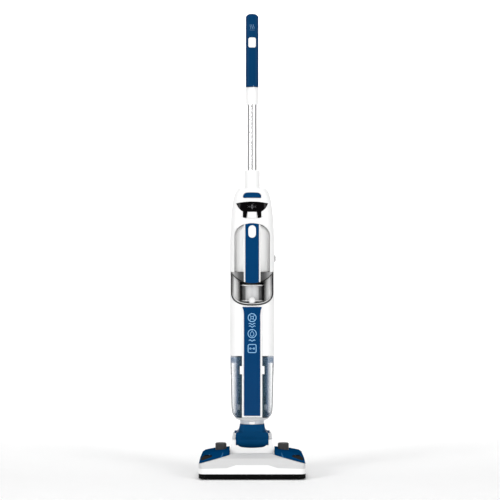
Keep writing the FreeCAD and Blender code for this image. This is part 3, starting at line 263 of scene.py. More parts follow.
M = {
    "white_gloss": plastic("m_white", (0.85, 0.85, 0.847), 0.32, vary=0.010, rough_vary=0.04, grain=0.02, spec=0.15),
    "pale_grey_gloss": plastic("m_pale_grey", (0.600, 0.600, 0.602), 0.32, vary=0.006, rough_vary=0.03, grain=0.0, spec=0.22),
    "neck_grey": plastic("m_neck_grey", (0.60, 0.625, 0.66), 0.36, vary=0.02, grain=0.05, spec=0.25),
    "blue_gloss": plastic("m_blue", (0.0002, 0.0390, 0.130), 0.18, vary=0.05, rough_vary=0.03, grain=0.02, spec=0.09),
    "blue_satin": plastic("m_blue_satin", (0.0002, 0.0340, 0.105), 0.40, vary=0.05, rough_vary=0.06, grain=0.08, spec=0.06),
    "black_gloss": plastic("m_black_gloss", (0.0012, 0.0008, 0.0012), 0.14, vary=0.1, rough_vary=0.03, grain=0.01, spec=0.09),
    "black_matte": plastic("m_black", (0.0015, 0.0015, 0.0016), 0.50, vary=0.12, grain=0.15, spec=0.05),
    "dark_grey": plastic("m_dark_rubber", (0.036, 0.036, 0.037), 0.50, vary=0.08, grain=0.2, spec=0.25),
    # spine bands: lighter blue towards the edges, a painted reflection of light refracted through the tank
    "spine_blue": banded("m_spine_painted_reflection", [(0.0, (0.055, 0.100, 0.140)), (0.033, (0.070, 0.125, 0.170)), (0.0355, (0.080, 0.130, 0.210)),
                                     (0.040, (0.16, 0.20, 0.29))], rough=0.4, spec=0.2),
    # collar bands: dark in the middle and light towards the sides, painted shade in the window recesses
    "smoke_collar": banded("m_collar_painted_shade", [(0.0, (0.060, 0.060, 0.062)), (0.028, (0.085, 0.085, 0.087)), (0.036, (0.12, 0.12, 0.122)),
                                        (0.044, (0.34, 0.34, 0.34)), (0.052, (0.62, 0.62, 0.62))], rough=0.25, spec=0.3),
    "clear_cup": clear("m_cup", (0.05, 0.05, 0.052), 0.015, 0.70, 0.03, 0.74, spec=0.2),
    # tank bands: painted shade deepening towards the spine behind, a pale painted highlight band near the sides and a
    # dark painted edge line at them
    "clear_tank": clear("m_tank_painted_shade", (0.2, 0.2, 0.2), 0.03, 0.85, 0.03, 0.46, spec=0.25, bands=[
        (0.0, 0.30, (0.020, 0.055, 0.085)), (0.0335, 0.28, (0.040, 0.085, 0.125)), (0.0365, 0.30, (0.08, 0.140, 0.23)),
        (0.0405, 0.38, (0.15, 0.21, 0.30)), (0.0440, 0.26, (0.33, 0.38, 0.46)), (0.0480, 0.12, (0.52, 0.56, 0.60)),
        (0.0508, 0.04, (0.60, 0.62, 0.64)), (0.0530, 0.04, (0.06, 0.06, 0.062))]),
    "lid_blue": clear("m_lid", (0.13, 0.24, 0.40), 0.42, 0.92, 0.10, 0.4, bands=[(0.0, 0.55, (0.03, 0.06, 0.09)), (0.036, 0.50, (0.04, 0.085, 0.14)), (0.043, 0.42, (0.15, 0.26, 0.42)), (0.053, 0.40, (0.12, 0.20, 0.32))]),
    "aluminium": metal("m_tube", (0.97, 0.97, 0.975), 0.27, stretch=(1, 1, 0.02), bump=0.02, rough_vary=0.02),
    "steel": metal("m_steel", (0.62, 0.62, 0.62), 0.28),
    "boiler_alloy": metal("m_boiler", (0.55, 0.55, 0.56), 0.45, bump=0.3),
    # filter bands: light middle and dark flanks, a painted reflection of a metal drum
    "filter_grey": banded("m_filter_painted_reflection", [(0.0, (0.60, 0.60, 0.605)), (0.008, (0.64, 0.64, 0.645)), (0.0160, (0.46, 0.46, 0.465)), (0.0182, (0.15, 0.15, 0.152)),
                                       (0.0235, (0.12, 0.12, 0.122)), (0.0260, (0.075, 0.075, 0.077)), (0.0310, (0.10, 0.10, 0.102))], rough=0.34, spec=0.25),
    # unit front bands: darker towards the sides, painted shade of the well edges
    "unit_front_painted_shade": banded("m_unit_front", [(0.0, (0.97, 0.97, 0.965)), (0.024, (0.97, 0.97, 0.965)), (0.031, (0.90, 0.90, 0.897)), (0.036, (0.76, 0.76, 0.757)), (0.0395, (0.62, 0.62, 0.618)), (0.0437, (0.74, 0.74, 0.737))],
                         rough=0.32, spec=0.15),
    "cover_blue": plastic("m_cover_blue", (0.0002, 0.0370, 0.118), 0.22, vary=0.05, rough_vary=0.03, grain=0.02, spec=0.0),
    "rocker_grey": plastic("m_rocker", (0.20, 0.20, 0.205), 0.4, vary=0.03, spec=0.1),
    # lighter blue strokes on the covers: painted highlight
    "ridge_painted_highlight": plastic("m_ridge_painted_highlight", (0.020, 0.120, 0.270), 0.25, vary=0.03, spec=0.1),
    # ankle: a lighter copy of the satin blue, painted light
    "ankle_blue": plastic("m_ankle_blue_painted_light", (0.0002, 0.0460, 0.135), 0.40, vary=0.04, rough_vary=0.05, grain=0.06, spec=0.05),
    "housing_light": plastic("m_seal_painted_light", (0.80, 0.80, 0.797), 0.4, vary=0.01, spec=0.1),
    "seal_rubber": plastic("m_seal", (0.003, 0.003, 0.003), 0.45, vary=0.1, grain=0.1, spec=0.2),
    "bristle_black": plastic("m_bristle", (0.010, 0.010, 0.010), 0.6, vary=0.15, grain=0.3),
    "board_green": plastic("m_board", (0.012, 0.13, 0.045), 0.4, vary=0.1),
    "motor_metal": metal("m_motor", (0.42, 0.42, 0.43), 0.35),
}
OWN_MATERIAL = {"power_rocker": "rocker_grey", "motor_housing": "unit_front_painted_shade", "side_cover_left": "cover_blue", "side_cover_right": "cover_blue", "ankle": "ankle_blue"}
slot_of = {s["node"]: s["material_slot"] for s in frame["record"]["subparts"]}
for node, obj in NODES.items():
    objs = obj if isinstance(obj, (list, tuple)) else [obj]
    for o in objs:
        if isinstance(o, str):
            o = bpy.data.objects[o]
        m = M[OWN_MATERIAL.get(node, slot_of[node])]
        if len(o.material_slots) == 0:
            o.data.materials.append(m)
        else:
            for s in o.material_slots:
                s.material = m

# ------------------------------------------------------------------ mesh helpers
def link(name, me, mat=None, smooth=True, angle=35.0):
    o = bpy.data.objects.new(name, me)
    bpy.context.scene.collection.objects.link(o)
    if mat is not None:
        me.materials.append(mat)
    if smooth:
        for p in me.polygons:
            p.use_smooth = True
        me.set_sharp_from_angle(angle=math.radians(angle))
    return o


def bm_to(name, bm, mat=None, smooth=True, angle=35.0):
    bmesh.ops.recalc_face_normals(bm, faces=bm.faces)
    me = bpy.data.meshes.new(name)
    bm.to_mesh(me)
    bm.free()
    return link(name, me, mat, smooth, angle)


def extrude_outline(bm, pts, y0, y1, surf=None):
    """Closed outline in XZ (mm), given a thickness along Y. surf(x, z) adds a depth that follows a curved face."""
    f = surf or (lambda x, z: 0.0)
    a = [bm.verts.new((x * MM, (y0 + f(x, z)) * MM, z * MM)) for x, z in pts]
    b = [bm.verts.new((x * MM, (y1 + f(x, z)) * MM, z * MM)) for x, z in pts]
    n = len(pts)
    bm.faces.new(a)
    bm.faces.new(b[::-1])
    for i in range(n):
        bm.faces.new((a[i], b[i], b[(i + 1) % n], a[(i + 1) % n]))


def stroke(bm, pts, w, y0, y1, surf=None, closed=False, round_end=True):
    """A ribbon of width w along a line of points in XZ (mm)."""
    f = surf or (lambda x, z: 0.0)
    n = len(pts)
    left, right = [], []
    for i, (x, z) in enumerate(pts):
        if closed:
            px, pz = pts[(i - 1) % n]
            qx, qz = pts[(i + 1) % n]
        else:
            px, pz = pts[max(0, i - 1)]
            qx, qz = pts[min(n - 1, i + 1)]
        dx, dz = qx - px, qz - pz
        l = math.hypot(dx, dz) or 1.0
        nx, nz = -dz / l, dx / l
        k = 1.0
        if round_end and not closed and (i == 0 or i == n - 1):
            k = 0.55
        left.append((x + nx * w * 0.5 * k, z + nz * w * 0.5 * k))
        right.append((x - nx * w * 0.5 * k, z - nz * w * 0.5 * k))
    rows = []
    for (lx, lz), (rx, rz) in zip(left, right):
        rows.append([bm.verts.new((lx * MM, (y0 + f(lx, lz)) * MM, lz * MM)),
                     bm.verts.new((rx * MM, (y0 + f(rx, rz)) * MM, rz * MM)),
                     bm.verts.new((rx * MM, (y1 + f(rx, rz)) * MM, rz * MM)),
                     bm.verts.new((lx * MM, (y1 + f(lx, lz)) * MM, lz * MM))])
    m = n if closed else n - 1
    for i in range(m):
        a, b = rows[i], rows[(i + 1) % n]
        for k in range(4):
            bm.faces.new((a[k], a[(k + 1) % 4], b[(k + 1) % 4], b[k]))
    if not closed:
        bm.faces.new(rows[0])
        bm.faces.new(rows[-1][::-1])


def circle(cx, cz, r, n=40, a0=0.0, a1=360.0, rz=None):
    rz = r if rz is None else rz
    full = abs(a1 - a0) >= 359.9
    k = n if full else n + 1
    return [(cx + r * math.cos(math.radians(a0 + (a1 - a0) * i / n)), cz + rz * math.sin(math.radians(a0 + (a1 - a0) * i / n)))
            for i in range(k)]


def rounded_rect(cx, cz, hx, hz, r, n=6):
    pts = []
    for qx, qz, a in ((1, 1, 0), (-1, 1, 90), (-1, -1, 180), (1, -1, 270)):
        for i in range(n + 1):
            t = math.radians(a + 90 * i / n)
            pts.append((cx + qx * (hx - r) + r * math.cos(t), cz + qz * (hz - r) + r * math.sin(t)))
    return pts


def wave(cx, cz, length, amp, turns, vertical=False, n=28):
    pts = []
    for i in range(n + 1):
        t = i / n
        a = amp * math.sin(2 * math.pi * turns * t)
        s = (t - 0.5) * length
        pts.append((cx + a, cz + s) if vertical else (cx + s, cz + a))
    return pts


# ------------------------------------------------------------------ body section, for anything lying on its face
BODY = [(306.0, 56.9, -52.0, 52.0, 30.0), (433.0, 56.9, -52.0, 52.0, 30.0), (519.0, 56.9, -52.0, 52.0, 30.0),
        (560.0, 56.6, -52.0, 52.0, 30.0), (597.0, 55.9, -51.6, 52.0, 30.0), (648.0, 53.7, -50.4, 51.0, 29.0),
        (673.0, 51.4, -48.8, 50.0, 28.0), (698.0, 47.6, -45.8, 47.6, 26.0), (716.0, 42.6, -41.2, 44.0, 24.0),
        (727.0, 35.5, -35.0, 39.0, 21.0)]


def body_at(z):
    z = max(BODY[0][0], min(BODY[-1][0], z))
    for a, b in zip(BODY, BODY[1:]):
        if z <= b[0]:
            t = (z - a[0]) / (b[0] - a[0])
            return [a[k] + (b[k] - a[k]) * t for k in range(1, 5)]
    return list(BODY[-1][1:])


def front_y(x, z):
    """Y of the body's front face at x, z (mm)."""
    hw, yf, yb, r = body_at(z)
    e = abs(x) - (hw - r)
    if e <= 0:
        return yf
    e = min(e, r)
    return yf + r - math.sqrt(max(0.0, r * r - e * e))


# ------------------------------------------------------------------ printed pictograms
ICON_BLUE = plastic("m_icon_blue", (0.22, 0.45, 0.70), 0.35, vary=0.05)
ICON_GREY = plastic("m_icon_grey", (0.17, 0.17, 0.18), 0.35, vary=0.05, spec=0.1)
ICON_DIM = plastic("m_icon_dim", (0.10, 0.20, 0.33), 0.4, vary=0.05)
GROOVE = plastic("m_groove", (0.46, 0.46, 0.47), 0.5, vary=0.05, spec=0.1)


def strip_icons():
    bm = bmesh.new()
    y0, y1 = -56.14, -55.98
    # round floor pad with a four-way pattern
    stroke(bm, circle(0, 402.4, 10.0), 2.0, y0, y1, closed=True)
    for a in (45, 135, 225, 315):
        c, s = math.cos(math.radians(a)), math.sin(math.radians(a))
        stroke(bm, [(c * 3.2, 402.4 + s * 3.2), (c * 8.2, 402.4 + s * 8.2)], 2.6, y0, y1)
    stroke(bm, circle(0, 402.4, 3.4), 1.5, y0, y1, closed=True)
    # pair of short ripples
    for dz in (-3.2, 3.2):
        stroke(bm, wave(0, 383.4 + dz, 16.5, 1.6, 1.5), 1.8, y0, y1)
    # drop in a ring
    stroke(bm, circle(0, 362.2, 10.4), 1.7, y0, y1, closed=True)
    drop = [(0, 370.0), (2.0, 366.4), (4.3, 362.3), (4.6, 359.2), (3.0, 356.6), (0, 355.6), (-3.0, 356.6), (-4.6, 359.2),
            (-4.3, 362.3), (-2.0, 366.4)]
    stroke(bm, drop, 1.4, y0, y1, closed=True)
    # one ripple
    stroke(bm, wave(0, 345.0, 16.0, 1.5, 1.5), 1.9, y0, y1)
    # rounded square with two rollers on a bar
    stroke(bm, rounded_rect(0, 324.8, 10.0, 10.2, 3.4), 2.0, y0, y1, closed=True)
    stroke(bm, [(-4.0, 324.8), (4.0, 324.8)], 1.5, y0, y1)
    for x in (-4.4, 4.4):
        stroke(bm, circle(x, 324.8, 1.7, 20), 1.7, y0, y1, closed=True)
    o = bm_to("strip_pictograms", bm, ICON_BLUE, smooth=False)
    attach(o, "water_tank")
    return o


def fascia_icons():
    bm = bmesh.new()
    y0, y1 = -50.72, -50.58
    for a in (0, 90, 180, 270):
        c, s = math.cos(math.radians(a)), math.sin(math.radians(a))
        cx, cz = c * 7.6, 681.0 + s * 4.7
        k = 1.5 if a in (0, 180) else 1.1
        stroke(bm, [(cx - s * k * 1.3 - c * 0.9, cz + c * k * 1.3 - s * 0.9), (cx + c * 0.9, cz + s * 0.9),
                    (cx + s * k * 1.3 - c * 0.9, cz - c * k * 1.3 - s * 0.9)], 1.3, y0, y1)
    stroke(bm, circle(0, 681.0, 2.6, 24), 1.1, y0, y1, closed=True)
    a = bm_to("pad_marks", bm, ICON_GREY, smooth=False)
    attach(a, "control_pad")
    bm = bmesh.new()
    surf = lambda x, z: front_y(x, z) - 0.9
    stroke(bm, circle(-21.5, 680.4, 2.2, 24, 120, 420), 1.0, -0.12, 0.05, surf)
    stroke(bm, [(-21.5, 680.6), (-21.5, 683.0)], 1.0, -0.12, 0.05, surf)
    for dx in (-1.5, 0, 1.5):
        stroke(bm, wave(21.0 + dx, 680.6, 4.4, 0.45, 1.0, vertical=True, n=14), 0.8, -0.12, 0.05, surf)
    b = bm_to("fascia_marks", bm, ICON_GREY, smooth=False)
    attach(b, "main_body")


def grip_icon():
    bm = bmesh.new()
    y0, y1 = -19.12, -18.98
    for dx in (-4.2, 0.0, 4.2):
        stroke(bm, wave(dx, 1137.0, 11.0, 1.0, 1.0, vertical=True), 1.3, y0, y1)
    stroke(bm, [(-6.4, 1128.4), (6.4, 1128.4)], 1.2, y0, y1)
    o = bm_to("grip_steam_mark", bm, ICON_DIM, smooth=False)
    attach(o, "handle")


def seam_lines():
    """Fine parting lines beside the control panel."""
    bm = bmesh.new()
    surf = lambda x, z: front_y(x, z)
    for s in (-1, 1):
        pts = []
        for i in range(15):
            t = i / 14
            x = 41.5 - 17.0 * t
            z = 668.6 - 13.4 * (t ** 0.8)
            pts.append((s * x, z))
        stroke(bm, pts, 1.1, -0.10, 0.25, surf)
    o = bm_to("panel_seams", bm, GROOVE, smooth=False)
    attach(o, "main_body")


# ------------------------------------------------------------------ bristles, filter
def bristles():
    import random
    rnd = random.Random(7)
    bm = bmesh.new()
    for y in (-70.5, -43.0):
        x = -94.0
        while x <= 94.0:
            for k in range(7):
                bx = x + rnd.uniform(-0.9, 0.9)
                by = y + rnd.uniform(-1.0, 1.0)
                tx = bx + rnd.uniform(-0.5, 0.5)
                ty = by + rnd.uniform(-0.6, 0.6)
                r = 0.16
                top = [bm.verts.new(((bx + r * math.cos(a)) * MM, (by + r * math.sin(a)) * MM, 5.4 * MM)) for a in (0, 2.09, 4.19)]
                tip = [bm.verts.new(((tx + 0.5 * r * math.cos(a)) * MM, (ty + 0.5 * r * math.sin(a)) * MM, 0.7 * MM)) for a in (0, 2.09, 4.19)]
                for i in range(3):
                    bm.faces.new((top[i], top[(i + 1) % 3], tip[(i + 1) % 3], tip[i]))
                bm.faces.new(tip)
                bm.faces.new(top[::-1])
            x += 1.9
        # backing strip
        v = [bm.verts.new((sx * 95.0 * MM, (y + sy * 1.45) * MM, z * MM)) for z in (4.2, 5.45) for sx, sy in ((-1, -1), (1, -1), (1, 1), (-1, 1))]
        for q in ((0, 1, 2, 3), (7, 6, 5, 4), (0, 4, 5, 1), (1, 5, 6, 2), (2, 6, 7, 3), (3, 7, 4, 0)):
            bm.faces.new([v[i] for i in q])
    o = bm_to("bristle_tufts", bm, M["bristle_black"], smooth=False)
    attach(o, "sole_frame")
    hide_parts("bristle_strips")


ARC_CZ, ARC_R = 550.5, 62.1
# vane bands: dark beside the drum, brightening outwards, painted shade inside the cup
VANE_PAINTED_SHADE = banded("m_vane_painted_shade", [(0.0, (0.10, 0.10, 0.10)), (0.0335, (0.10, 0.10, 0.10)), (0.0355, (0.24, 0.24, 0.24)), (0.0384, (0.44, 0.44, 0.44)), (0.0410, (0.58, 0.58, 0.58)),
                         (0.0434, (0.76, 0.76, 0.76)), (0.0460, (0.93, 0.93, 0.93)), (0.0520, (0.97, 0.97, 0.97))], rough=0.35, spec=0.2)


def ring_solid(bm, cx, cy, prof, seg=96):
    cols = []
    for i in range(seg):
        a = 2 * math.pi * i / seg
        cols.append([bm.verts.new(((cx + r * math.cos(a)) * MM, (cy + r * math.sin(a)) * MM, z * MM)) for r, z in prof])
    for i in range(seg):
        p, q = cols[i], cols[(i + 1) % seg]
        for k in range(len(prof)):
            bm.faces.new((p[k], q[k], q[(k + 1) % len(prof)], p[(k + 1) % len(prof)]))


def dust_core():
    """Filter drum between two pale end rings, with upright ribs and an inlet dome in front; the drum's light middle and
    dark flanks are a painted reflection of a metal mesh.
    """
    lo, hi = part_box("dust_filter")
    cx, cy = 0.0, -10.0
    z0, z1 = lo[2] * 1000, hi[2] * 1000
    n = 180
    bm = bmesh.new()
    rings = []
    for r, z in ((29.0, z0 + 3.6), (30.2, z0 + 4.4), (30.2, (z0 + z1) / 2), (30.2, z1 - 3.4), (29.0, z1 - 2.6), (27.6, z1 - 3.4),
                 (27.6, z0 + 4.4)):
        ring = []
        for i in range(n):
            a = 2 * math.pi * i / n
            rr = r + (0.5 if (i % 15 == 0 and r > 30) else 0.0)
            ring.append(bm.verts.new(((cx + rr * math.cos(a)) * MM, (cy + rr * math.sin(a)) * MM, z * MM)))
        rings.append(ring)
    for k in range(len(rings)):
        p, q = rings[k], rings[(k + 1) % len(rings)]
        for i in range(n):
            bm.faces.new((p[i], p[(i + 1) % n], q[(i + 1) % n], q[i]))
    drum = bm_to("filter_drum", bm, M["filter_grey"], angle=60)
    bm = bmesh.new()
    ring_solid(bm, cx, cy, [(25.0, z1 - 3.2), (30.4, z1 - 3.2), (30.9, z1 - 2.7), (30.9, z1 - 0.8), (30.4, z1 - 0.3), (25.0, z1 - 0.3)])
    ring_solid(bm, cx, cy, [(3.0, z0 + 0.6), (27.0, z0 + 0.6), (30.4, z0 + 2.6), (30.8, z0 + 3.4), (30.4, z0 + 4.4), (3.0, z0 + 4.4)])
    cage = bm_to("filter_end_rings", bm, M["white_gloss"])
    bm = bmesh.new()
    bmesh.ops.create_uvsphere(bm, u_segments=40, v_segments=24, radius=1.0)
    for v in bm.verts:
        z = v.co.z
        flat = max(z, -0.72)
        v.co.x *= 8.2 * MM
        v.co.y = (-45.2 + v.co.y * 4.6) * MM
        v.co.z = (444.8 + flat * 8.6) * MM
    dome = bm_to("inlet_dome", bm, M["white_gloss"])
    # pale side vanes left and right of the drum, with painted shade darkening them towards the drum
    bm = bmesh.new()
    for s in (-1, 1):
        n = 24
        cols = []
        for i in range(n + 1):
            t = i / n
            x = s * (30.4 + (50.2 - 30.4) * t)
            y = -34.0 + 12.0 * t * t
            zb = 434.6 + 15.0 * max(0.0, (t - 0.25) / 0.75) ** 2.0
            zt = ARC_CZ - math.sqrt(ARC_R ** 2 - x * x) - 3.6
            cols.append([bm.verts.new((x * MM, (y + d) * MM, z * MM)) for d in (0.0, 1.4) for z in (zb + 1.2, zt)])
        for p, q in zip(cols, cols[1:]):
            bm.faces.new((p[0], q[0], q[1], p[1]))
            bm.faces.new((p[2], p[3], q[3], q[2]))
            bm.faces.new((p[1], q[1], q[3], p[3]))
            bm.faces.new((p[0], p[2], q[2], q[0]))
        for c in (cols[0], cols[-1]):
            bm.faces.new((c[0], c[1], c[3], c[2]))
    vanes = bm_to("cup_side_vanes", bm, VANE_PAINTED_SHADE, angle=40)
    for o in (drum, cage, dome, vanes):
        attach(o, "dust_container")
    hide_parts("dust_filter")


COVER_SIDE = [(36.0, -84.0), (47.0, -80.0), (57.0, -70.0), (66.4, -52.0), (75.2, -20.0), (79.4, 10.0)]


def cover_y(z):
    for (za, ya), (zb, yb) in zip(COVER_SIDE, COVER_SIDE[1:]):
        if z <= zb:
            return ya + (yb - ya) * (z - za) / (zb - za)
    return COVER_SIDE[-1][1]


def cover_slot_shades():
    """Black three-cornered piece near the outer front end of each side cover: painted shade standing for a deep slot
    there.
    """
    top = [(99.6, 55.6), (101.0, 58.8), (118.0, 58.9), (125.6, 54.4), (127.6, 50.8)]
    low = [(99.6, 55.4), (114.0, 50.2), (126.5, 46.6), (131.9, 45.4)]

    def at(line, x):
        for (xa, za), (xb, zb) in zip(line, line[1:]):
            if x <= xb:
                return za + (zb - za) * (x - xa) / (xb - xa)
        return line[-1][1]

    for side, s in (("left", -1), ("right", 1)):
        bm = bmesh.new()
        cols = []
        xs = [99.7 + (127.4 - 99.7) * i / 24 for i in range(25)]
        for x in xs:
            zt, zl = at(top, x), at(low, x)
            zs = [zl + (zt - zl) * k / 8 for k in range(9)]
            cols.append(([bm.verts.new((s * x * MM, (cover_y(z) - 0.22) * MM, z * MM)) for z in zs],
                         [bm.verts.new((s * x * MM, (cover_y(z) + 1.2) * MM, (z - 0.4) * MM)) for z in zs]))
        for (fa, ba), (fb, bb) in zip(cols, cols[1:]):
            for k in range(8):
                bm.faces.new((fa[k], fb[k], fb[k + 1], fa[k + 1]))
                bm.faces.new((ba[k], ba[k + 1], bb[k + 1], bb[k]))
            bm.faces.new((fa[0], ba[0], bb[0], fb[0]))
            bm.faces.new((fa[8], fb[8], bb[8], ba[8]))
        for f, bk in (cols[0], cols[-1]):
            for k in range(8):
                bm.faces.new((f[k], f[k + 1], bk[k + 1], bk[k]))
        o = bm_to("cover_inset_" + side, bm, M["black_gloss"], angle=20)
        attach(o, "floor_head")


def cover_highlight_strokes():
    """Short curved stroke on the front slope of each side cover, inside the dark slot piece, in a lighter blue: a
    painted highlight.
    """
    for side, s in (("left", -1), ("right", 1)):
        bm = bmesh.new()
        pts = []
        for i in range(13):
            t = i / 12
            x = (1 - t) ** 2 * 73.6 + 2 * t * (1 - t) * 74.4 + t * t * 82.4
            z = (1 - t) ** 2 * 64.2 + 2 * t * (1 - t) * 55.0 + t * t * 51.0
            w = 0.35 + 1.0 * math.sin(math.pi * t) ** 0.8
            pts.append((x, z, w))
        for (xa, za, wa), (xb, zb, wb) in zip(pts, pts[1:]):
            d = math.hypot(xb - xa, zb - za)
            nx, nz = -(zb - za) / d, (xb - xa) / d
            q = []
            for x, z, w in ((xa, za, wa), (xb, zb, wb)):
                for k in (-1, 1):
                    for dy in (-0.35, 0.8):
                        q.append(bm.verts.new((s * (x + nx * w * k) * MM, (cover_y(z + nz * w * k) + dy) * MM, (z + nz * w * k) * MM)))
            a0, a1, a2, a3, b0, b1, b2, b3 = q
            for f in ((a0, a2, b2, b0), (a1, b1, b3, a3), (a0, b0, b1, a1), (a2, a3, b3, b2), (a0, a1, a3, a2), (b0, b2, b3, b1)):
                bm.faces.new(f)
        bmesh.ops.remove_doubles(bm, verts=bm.verts, dist=1e-6)
        o = bm_to("cover_ridge_" + side, bm, M["ridge_painted_highlight"], angle=40)
        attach(o, "floor_head")


def soft_block(bm, x0, x1, y0, y1, z0, z1, r=1.2):
    """Box with chamfered upright and level edges."""
    rows = []
    for z, g in ((z0, r), (z0 + r, 0.0), (z1 - r, 0.0), (z1, r)):
        a, b, c, d = x0 + g, x1 - g, y0 + g, y1 - g
        rows.append([bm.verts.new((x * MM, y * MM, z * MM)) for x, y in
                     ((a + r, c), (b - r, c), (b, c + r), (b, d - r), (b - r, d), (a + r, d), (a, d - r), (a, c + r))])
    for p, q in zip(rows, rows[1:]):
        for i in range(8):
            bm.faces.new((p[i], p[(i + 1) % 8], q[(i + 1) % 8], q[i]))
    bm.faces.new(rows[0][::-1])
    bm.faces.new(rows[-1])


def tank_inside():
    """Foot ribs and valve blocks seen through the tank."""
    bm = bmesh.new()
    for s in (-1, 1):
        xa, xb = (30.4, 35.0) if s > 0 else (-35.0, -30.4)
        soft_block(bm, xa, xb, -44.0, -30.0, 183.0, 204.0)
        tri = [(s * 30.4, 154.6), (s * 43.0, 158.0), (s * 40.0, 164.0), (s * 33.0, 169.5), (s * 30.4, 167.0)]
        if s < 0:
            tri = tri[::-1]
        extrude_outline(bm, tri, -42.5, -32.0)
    dark = bm_to("tank_foot_ribs", bm, M["black_matte"], angle=30)
    bm = bmesh.new()
    for s in (-1, 1):
        xa, xb = (30.4, 38.0) if s > 0 else (-38.0, -30.4)
        soft_block(bm, xa, xb, -43.0, -31.0, 169.8, 182.6)
    grey = bm_to("tank_valve_bodies", bm, M["neck_grey"], angle=30)
    for o in (dark, grey):
        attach(o, "water_tank")


def bumper_details():
    """Shallow ribs along the front of the base plate, their grey a painted glint on the black bar, and small clips."""
    bm = bmesh.new()
    for x0, x1 in ((-106.0, -84.0), (-54.0, -28.0), (30.0, 52.0), (86.0, 106.0)):
        soft_block(bm, x0, x1, -97.0 - 0.0, -95.4, 8.2, 9.4, 0.3)
    o = bm_to("bumper_ribs", bm, M["dark_grey"], angle=30)
    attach(o, "floor_head")
    bm = bmesh.new()
    for x in (-117.0, 117.0):
        for k in range(1):
            seg = 36
            c = []
            for i in range(seg):
                a = 2 * math.pi * i / seg
                c.append((x + 2.0 * math.cos(a), 8.0 + 2.0 * math.sin(a)))
            extrude_outline(bm, c if x > 0 else c, -96.95, -95.5)
    o = bm_to("bumper_studs", bm, M["dark_grey"], angle=30)
    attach(o, "floor_head")


def bead(name, pts, r, mat, body, seg=10, closed=False):
    """Round bead along a line of points (mm)."""
    bm = bmesh.new()
    n = len(pts)
    rings = []
    for i, p in enumerate(pts):
        a = Vector(pts[(i - 1) % n] if closed else pts[max(0, i - 1)])
        b = Vector(pts[(i + 1) % n] if closed else pts[min(n - 1, i + 1)])
        d = (b - a).normalized()
        u = Vector((0, 1, 0))
        w = d.cross(u).normalized()
        u = w.cross(d).normalized()
        rings.append([bm.verts.new((Vector(p) + (u * math.cos(t) + w * math.sin(t)) * r) * MM)
                      for t in [2 * math.pi * k / seg for k in range(seg)]])
    m = n if closed else n - 1
    for i in range(m):
        p, q = rings[i], rings[(i + 1) % n]
        for k in range(seg):
            bm.faces.new((p[k], p[(k + 1) % seg], q[(k + 1) % seg], q[k]))
    if not closed:
        bm.faces.new(rings[0])
        bm.faces.new(rings[-1][::-1])
    o = bm_to(name, bm, mat, angle=80)
    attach(o, body)
    return o


